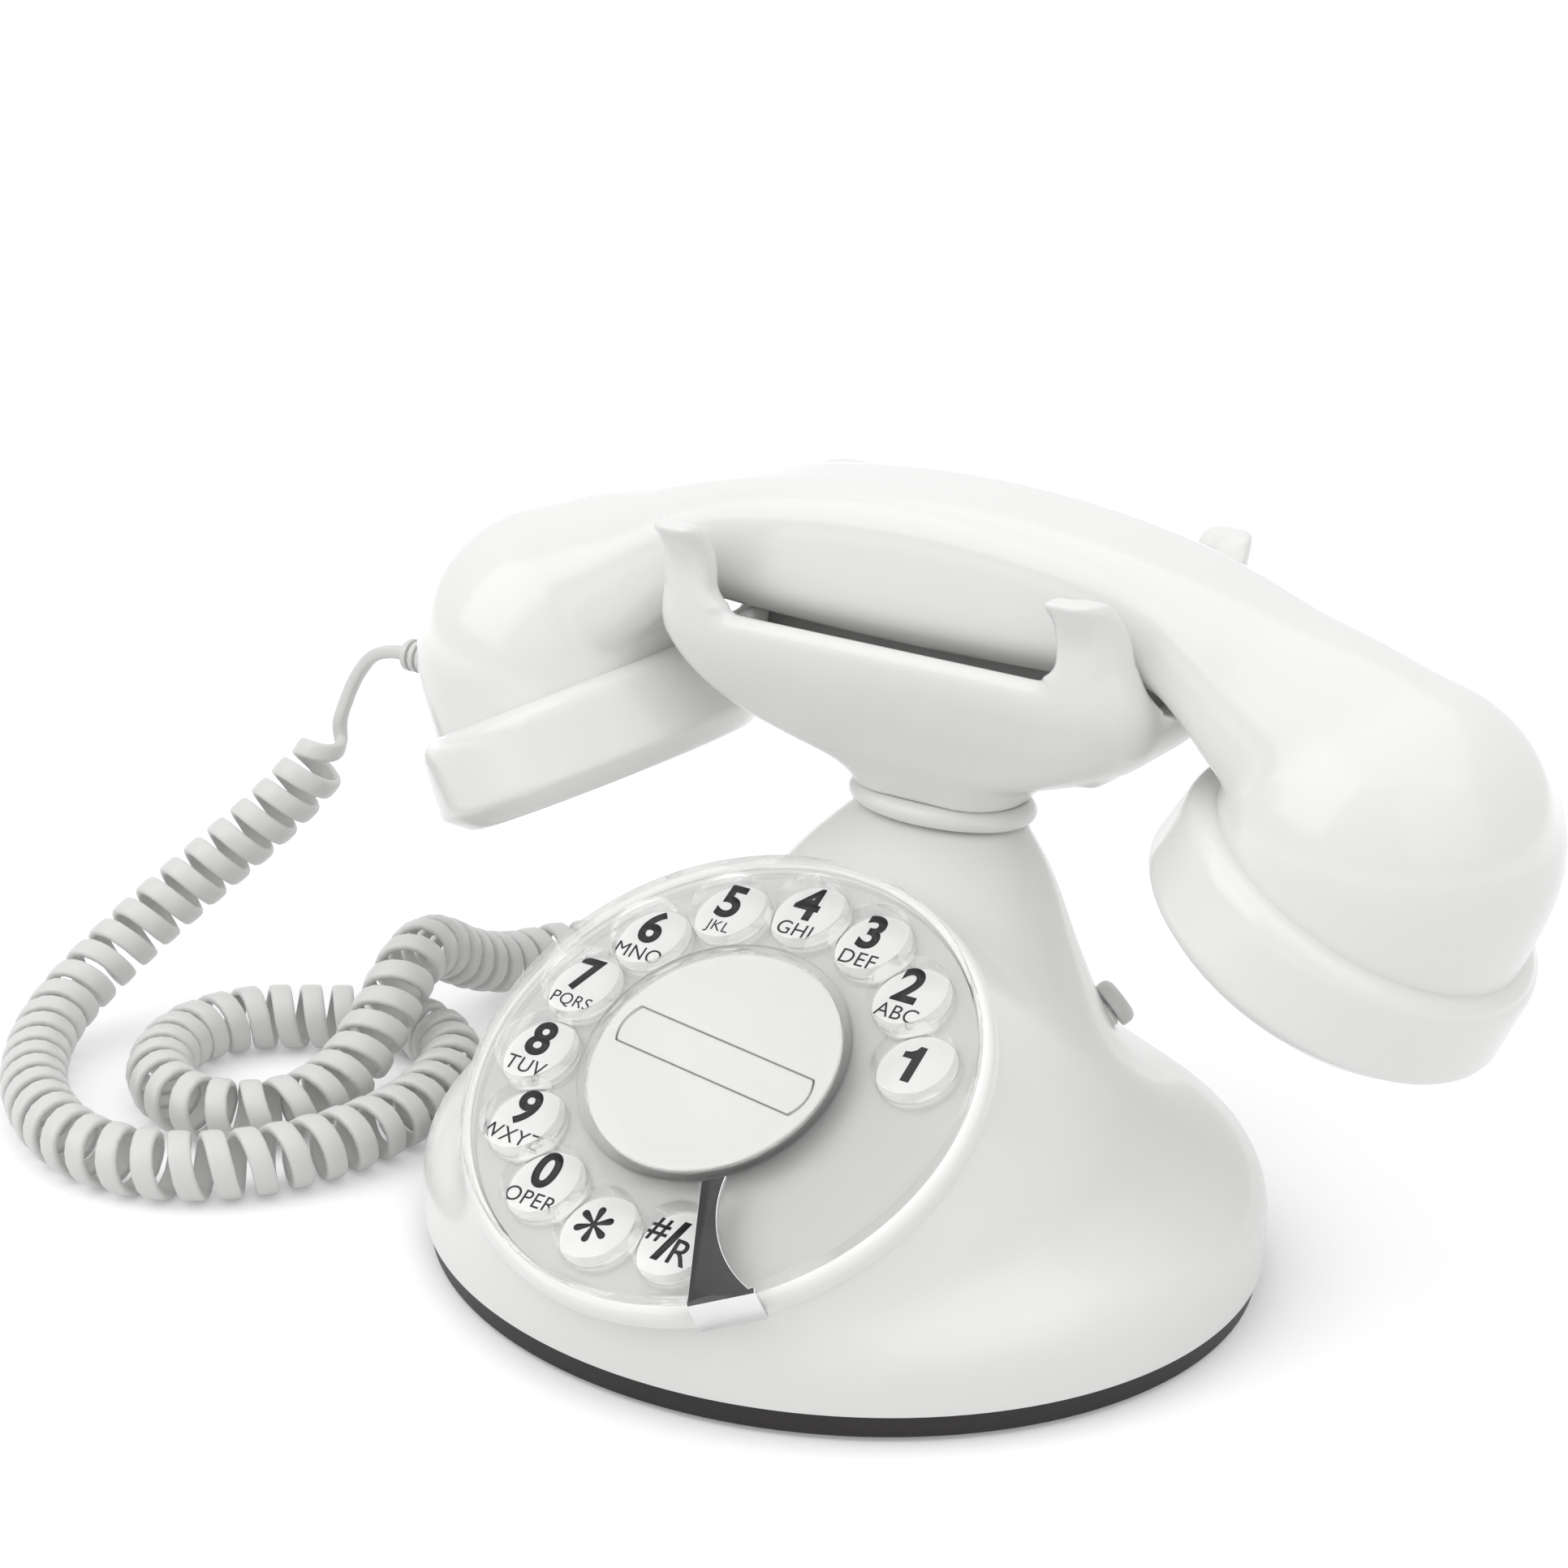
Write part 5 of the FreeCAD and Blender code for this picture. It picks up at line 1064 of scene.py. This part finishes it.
# Number card: a white paper disc in the ring in the middle of the wheel, with a thin black frame for
# the owner's number printed on it. A clear acrylic window is pressed in over it.
CARD_THICK = 0.44
CARD_MIDDLE = 0.24
CARD_ROOM = 0.05
CARD_SIDES = 128
card_white = moulded_plastic(
    "card_white_paper",
    (0.70, 0.70, 0.69),
    roughness=0.6,
    coat=0.0,
    grain=900,
    grain_depth=0.05,
)
card = flat_disc("white_card", CARD_R - CARD_ROOM, CARD_THICK, CARD_SIDES)
put_on_dial(card, 0, 0, CARD_MIDDLE)
card.data.materials.append(card_white)
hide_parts("number_card")
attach(card, "dial")
FRAME_TURN = math.radians(-6)
FRAME_HALF_LONG = 17.8
FRAME_HALF_HIGH = 3.7
FRAME_LINE = 0.24
FRAME_BOW = 1.1
FRAME_STEPS = 8
FRAME_THICK = 0.03
FRAME_LEVEL = 0.475
frame_rows = []
for half_long, half_high in (
    (FRAME_HALF_LONG, FRAME_HALF_HIGH),
    (FRAME_HALF_LONG - FRAME_LINE, FRAME_HALF_HIGH - FRAME_LINE),
):
    row = []
    for side in (1, -1):
        for step in range(FRAME_STEPS + 1):
            high = side * half_high * (2 * step / FRAME_STEPS - 1)
            bow = FRAME_BOW * (1 - (high / half_high) ** 2)
            row.append(Vector((side * (half_long + bow), high, 0)))
    frame_rows.append(row)
card_frame = wrapped_grid("card_frame", frame_rows, "open")
apply_modifier(card_frame, "SOLIDIFY", thickness=FRAME_THICK * MM, offset=0.0)
put_on_dial(card_frame, 0, 0, FRAME_LEVEL, FRAME_TURN)
card_frame.data.materials.append(print_black)
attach(card_frame, "dial")
WINDOW_PROFILE = (
    (0.0, 0.52),
    (CARD_R - 0.15, 0.52),
    (CARD_R - 0.05, 0.62),
    (CARD_R - 0.05, 1.1),
    (CARD_R - 0.17, 1.38),
    (CARD_R - 0.45, 1.5),
    (0.0, 1.5),
)
window_rings = turned_rings(WINDOW_PROFILE, DIAL_CENTRE, DIAL_AXIS, CARD_SIDES)
window = wrapped_grid("clear_window", window_rings)
smooth_by_angle(window, degrees=35)
apply_modifier(window, "WEIGHTED_NORMAL", keep_sharp=True)
window.data.materials.append(clear_plastic)
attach(window, "dial")
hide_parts("card_window")

# Finger stop: a bent chromed blade that reaches over the wheel. The flat of the blade is coloured
# near-black, a painted dark reflection of the room, and its strap, bent down over the bezel's edge and
# fixed there, is pale chrome that mirrors the bright floor.
STOP_EDGE = 0.22
STOP_EDGE_FROM = 0.7
BLADE_FACING = 0.95
METAL_CLOUD_SCALE = 120
POLISH_SPREAD = 0.2


def worked_metal(name, dark, light, roughness):
    """Metal whose tone and polish drift a little from place to place."""
    paint = bpy.data.materials.new(name)
    paint.use_nodes = True
    tree = paint.node_tree
    shader = tree.nodes["Principled BSDF"]
    shader.inputs["Metallic"].default_value = 1.0
    where = tree.nodes.new("ShaderNodeTexCoord")
    cloud = tree.nodes.new("ShaderNodeTexNoise")
    cloud.inputs["Scale"].default_value = METAL_CLOUD_SCALE
    link(tree, where, "Object", cloud, "Vector")
    tone = tree.nodes.new("ShaderNodeMix")
    tone.data_type = "RGBA"
    tone.inputs["A"].default_value = (*dark, 1)
    tone.inputs["B"].default_value = (*light, 1)
    link(tree, cloud, "Fac", tone, "Factor")
    tree.links.new(tone.outputs["Result"], shader.inputs["Base Color"])
    polish = tree.nodes.new("ShaderNodeMapRange")
    polish.inputs["To Min"].default_value = roughness * (1 - POLISH_SPREAD)
    polish.inputs["To Max"].default_value = roughness * (1 + POLISH_SPREAD)
    link(tree, cloud, "Fac", polish, "Value")
    link(tree, polish, "Result", shader, "Roughness")
    return paint


# Near-black chrome: a painted dark reflection, the same chrome as the strap made dark for the blade's
# flat.
chrome_painted_dark_reflection = worked_metal(
    "chrome_painted_dark_reflection",
    dark=(0.045, 0.045, 0.047),
    light=(0.075, 0.075, 0.077),
    roughness=0.16,
)
bright_chrome = worked_metal(
    "bright_chrome",
    dark=(0.70, 0.70, 0.70),
    light=(0.82, 0.82, 0.82),
    roughness=0.22,
)
stop = smooth_copy("finger_stop", "chrome_stop")
apply_modifier(
    stop,
    "BEVEL",
    width=STOP_EDGE * MM,
    segments=2,
    limit_method="ANGLE",
    angle_limit=STOP_EDGE_FROM,
)
smooth_by_angle(stop, degrees=30)
stop.data.materials.append(bright_chrome)
stop.data.materials.append(chrome_painted_dark_reflection)
# The faces that look along the dial axis, the flat of the blade, take the painted dark reflection.
for face in stop.data.polygons:
    face.material_index = 1 if face.normal.dot(DIAL_AXIS) > BLADE_FACING else 0
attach(stop, "base")

# Handset shell: one glossy white moulding, an arched handle with flat sides that widens into two
# domed cups. The domes run into the handle with a soft crease.
HANDSET_Y = 28.5
HANDLE_HALF = 14.5
HANDLE_TOP = 125.5
HANDLE_LOW = 99.6
ARCH_R = 186.0
ARCH_SINE = 0.32
ARCH_HALF = ARCH_R * ARCH_SINE
ARCH_SLOPE = math.tan(math.asin(ARCH_SINE))
BELLY_R = 700.0
BELLY_HALF = 43
TOP_ROUND = 8.0
LOW_ROUND = 6.0
END_WIDER = 7.0
END_ROUNDER = 13.4
CORNER_STEPS = 8
CUP_R = 27.3
CUP_HIGH = 33.4
CUP_ROUND = 27.0
CUP_TILT = math.radians(20)
CAP_X = 72.4
CAP_Z = 62.6
CAP_TILT = math.radians(27.4)
CAP_HIGH = 14.2


def handle_top_at(x):
    if abs(x) < ARCH_HALF:
        return HANDLE_TOP - ARCH_R + math.sqrt(ARCH_R ** 2 - x * x)
    edge = HANDLE_TOP - ARCH_R + math.sqrt(ARCH_R ** 2 - ARCH_HALF ** 2)
    rise = 1.3 * fade(abs(x), ARCH_HALF, over=18) - 0.8 * fade(abs(x), start=84, over=6)
    return edge - (abs(x) - ARCH_HALF) * ARCH_SLOPE + rise


def handle_low_at(x):
    belly = HANDLE_LOW + BELLY_R - math.sqrt(BELLY_R ** 2 - min(abs(x), BELLY_HALF) ** 2)
    drop = 1.6 * fade(abs(x), BELLY_HALF, over=6) + 11.6 * fade(abs(x), start=45, over=18)
    return belly - drop


def handle_ring(x):
    """The handle's section at a place along it: a bar with four rounded corners, wider at the ends."""
    spread = fade(abs(x), start=36, over=46)
    half = HANDLE_HALF + END_WIDER * spread
    top_round = TOP_ROUND + END_ROUNDER * spread
    top = handle_top_at(x)
    low = handle_low_at(x)
    corners = (
        (1, top, top_round, 1),
        (-1, top, top_round, 1),
        (-1, low, LOW_ROUND, -1),
        (1, low, LOW_ROUND, -1),
    )
    starts = (0, 90, 180, 270)
    ring = []
    for (side, edge, round_r, upper), start in zip(corners, starts):
        for step in range(CORNER_STEPS + 1):
            angle = math.radians(start + 90 * step / CORNER_STEPS)
            y = side * (half - round_r) + round_r * math.cos(angle)
            z = edge - upper * round_r + round_r * math.sin(angle)
            ring.append(Vector((x, HANDSET_Y + y, z)))
    return ring


HANDLE_END = 90.0
HANDLE_ROWS = 84
CUP_SKIRT = -6.0
CUP_STEPS = 20
CUP_SIDES = 96
HANDSET_VOXEL = 0.0009
handle_rows = []
for number in range(HANDLE_ROWS + 1):
    handle_rows.append(handle_ring(-HANDLE_END + 2 * HANDLE_END * number / HANDLE_ROWS))
handset = wrapped_grid("white_handset", handle_rows)
cup_profile = [(CUP_R, CUP_SKIRT), (CUP_R, 0.0)]
for number in range(CUP_STEPS + 1):
    angle = math.pi / 2 * number / CUP_STEPS
    height = CUP_HIGH - CUP_ROUND + CUP_ROUND * math.sin(angle)
    crown = (CUP_R - CUP_ROUND) * (number < CUP_STEPS)
    cup_profile.append((crown + CUP_ROUND * math.cos(angle), height))
cups = []
for side in (-1, 1):
    cup_axis = Vector((side * math.sin(CUP_TILT), 0, math.cos(CUP_TILT)))
    cup_foot = Vector((
        side * (CAP_X + CAP_HIGH * math.sin(CAP_TILT)),
        HANDSET_Y,
        CAP_Z + CAP_HIGH * math.cos(CAP_TILT),
    ))
    cups.append(wrapped_grid(f"cup_{side}", turned_rings(cup_profile, cup_foot, cup_axis, CUP_SIDES)))
join_into(handset, *cups)
apply_modifier(handset, "REMESH", mode="VOXEL", voxel_size=HANDSET_VOXEL)
apply_modifier(handset, "SMOOTH", factor=0.5, iterations=8)


def handle_root(place):
    """1 where the handle runs into the domes, 0 on the grip and on the cups' lower edges."""
    return fade(abs(place.x), start=52, over=10) * fade(place.z, start=84, over=8)


root = weigh(handset, "handle_root", handle_root)
apply_modifier(handset, "SMOOTH", factor=0.5, iterations=40, vertex_group=root)
smooth_by_angle(handset, degrees=75)
handset_plastic = moulded_plastic(
    "handset_white_plastic",
    (0.83, 0.83, 0.82),
    roughness=0.2,
    coat=0.2,
    grain=260,
    grain_depth=0.02,
)
handset.data.materials.clear()
handset.data.materials.append(handset_plastic)
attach(handset, "handset")
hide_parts("handset_shell")

# Ear cap and mouth cap: turned white caps screwed on under the cups, chamfered towards the face,
# with small sound holes in it.
CAP_SIDES = 128
CAP_FACE = -4.2
CAP_PROFILE = (
    (22.0, 8.0),
    (26.0, 13.9),
    (27.2, 14.2),
    (28.6, 14.05),
    (29.7, 13.55),
    (30.5, 12.8),
    (31.0, 11.8),
    (31.25, 10.4),
    (31.35, 8.6),
    (31.85, 1.5),
    (31.95, 0.4),
    (31.8, -0.4),
    (31.4, -1.0),
    (28.2, -3.6),
    (27.5, -4.0),
    (26.8, CAP_FACE),
    (25.5, CAP_FACE),
)
SOUND_HOLE_R = 1.2
SOUND_HOLE_DEEP = 3
SOUND_HOLE_SIDES = 20
EAR_HOLES = ((0.0, 1), (6.0, 6), (12.0, 12))
MOUTH_HOLES = ((4.0, 4), (9.0, 10), (14.0, 16))


def sound_cap(name, node, side, rings):
    axis = Vector((side * math.sin(CAP_TILT), 0, math.cos(CAP_TILT)))
    foot = Vector((side * CAP_X, HANDSET_Y, CAP_Z))
    cap = wrapped_grid(name, turned_rings(CAP_PROFILE, foot, axis, CAP_SIDES))
    drills = []
    turn = axis.to_track_quat("Z", "Y").to_matrix().to_4x4()
    for ring_r, count in rings:
        for number in range(count):
            angle = 2 * math.pi * number / count
            place = Vector((ring_r * math.cos(angle), ring_r * math.sin(angle), CAP_FACE))
            bpy.ops.object.select_all(action="DESELECT")
            bpy.ops.mesh.primitive_cylinder_add(
                vertices=SOUND_HOLE_SIDES,
                radius=SOUND_HOLE_R * MM,
                depth=SOUND_HOLE_DEEP * MM,
            )
            tool = bpy.context.active_object
            tool.data.transform(Matrix.Translation(foot * MM) @ turn @ Matrix.Translation(place * MM))
            drills.append(tool)
    join_into(drills[0], *drills[1:])
    cut_away(cap, drills[0])
    smooth_by_angle(cap, degrees=32)
    cap.data.materials.clear()
    cap.data.materials.append(handset_plastic)
    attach(cap, "handset")
    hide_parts(node)


sound_cap("white_ear_cap", "ear_cap", 1, EAR_HOLES)
sound_cap("white_mouth_cap", "mouth_cap", -1, MOUTH_HOLES)

# Cord bush: a ribbed sleeve in the cord's own soft plastic, pressed into the left cup where the
# cord leaves it.
bush = smooth_copy("cord_bush", "ribbed_bush")
smooth_by_angle(bush, degrees=35)
bush.data.materials.append(cord_plastic)
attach(bush, "handset")

# Hook bar and knob: the grey bar in the cradle's trough, and the small pale knob on the right rear,
# a turned button with a rounded edge over a low white boss.
paint_node("hook_bar", grey_plastic)
KNOB_FOOT = Vector((30.2, 36.33, 36.46))
KNOB_SIDES = 64
KNOB_PROFILE = (
    (0.0, 0.0),
    (3.9, 0.0),
    (4.15, 0.25),
    (4.2, 1.5),
    (4.05, 2.1),
    (3.65, 2.6),
    (3.0, 2.9),
    (0.0, 2.98),
)
BOSS_PROFILE = (
    (1.9, -4.0),
    (3.5, -4.0),
    (3.2, -0.6),
    (2.9, -0.3),
    (1.9, -0.3),
    (1.9, -4.0),
)
knob = wrapped_grid("pale_knob", turned_rings(KNOB_PROFILE, KNOB_FOOT, KNOB_AXIS, KNOB_SIDES))
smooth_by_angle(knob, degrees=35)
knob_plastic = moulded_plastic(
    "knob_pale_plastic",
    (0.66, 0.66, 0.65),
    roughness=0.4,
    coat=0.1,
    grain=900,
    grain_depth=0.05,
)
knob.data.materials.append(knob_plastic)
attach(knob, "knob")
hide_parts("volume_knob")
boss_rings = turned_rings(BOSS_PROFILE, KNOB_FOOT, KNOB_AXIS, KNOB_SIDES)
knob_boss = wrapped_grid("knob_boss", boss_rings, "open")
smooth_by_angle(knob_boss, degrees=35)
knob_boss.data.materials.append(body_plastic)
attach(knob_boss, "base")

# Works inside the shell: screws, shafts and springs of plain steel, gears and bush of brass, a green
# board and grey mouldings, all screwed or clipped in place where the closed body hides them.
steel = worked_metal(
    "plain_steel",
    dark=(0.45, 0.45, 0.46),
    light=(0.58, 0.58, 0.59),
    roughness=0.32,
)
brass = worked_metal(
    "gear_brass",
    dark=(0.60, 0.44, 0.17),
    light=(0.72, 0.54, 0.22),
    roughness=0.3,
)
board_green = moulded_plastic(
    "board_green",
    (0.02, 0.16, 0.06),
    roughness=0.35,
    coat=0.3,
    grain=700,
    grain_depth=0.1,
)
STEEL_PIECES = (
    "base_screws",
    "cradle_screws",
    "board_screws",
    "dial_shaft",
    "hub_screw",
    "return_spring",
    "hook_spring",
    "dial_frame",
    "volume_shaft",
    "governor_rotor",
)
for node in STEEL_PIECES:
    paint_node(node, steel)
for node in ("dial_bush", "dial_gear", "governor_pinion"):
    paint_node(node, brass)
GREY_PIECES = (
    "dial_contacts",
    "ringer",
    "hook_switch",
    "volume_control",
    "receiver_capsule",
    "microphone_capsule",
)
for node in GREY_PIECES:
    paint_node(node, grey_plastic)
paint_node("circuit_board", board_green)
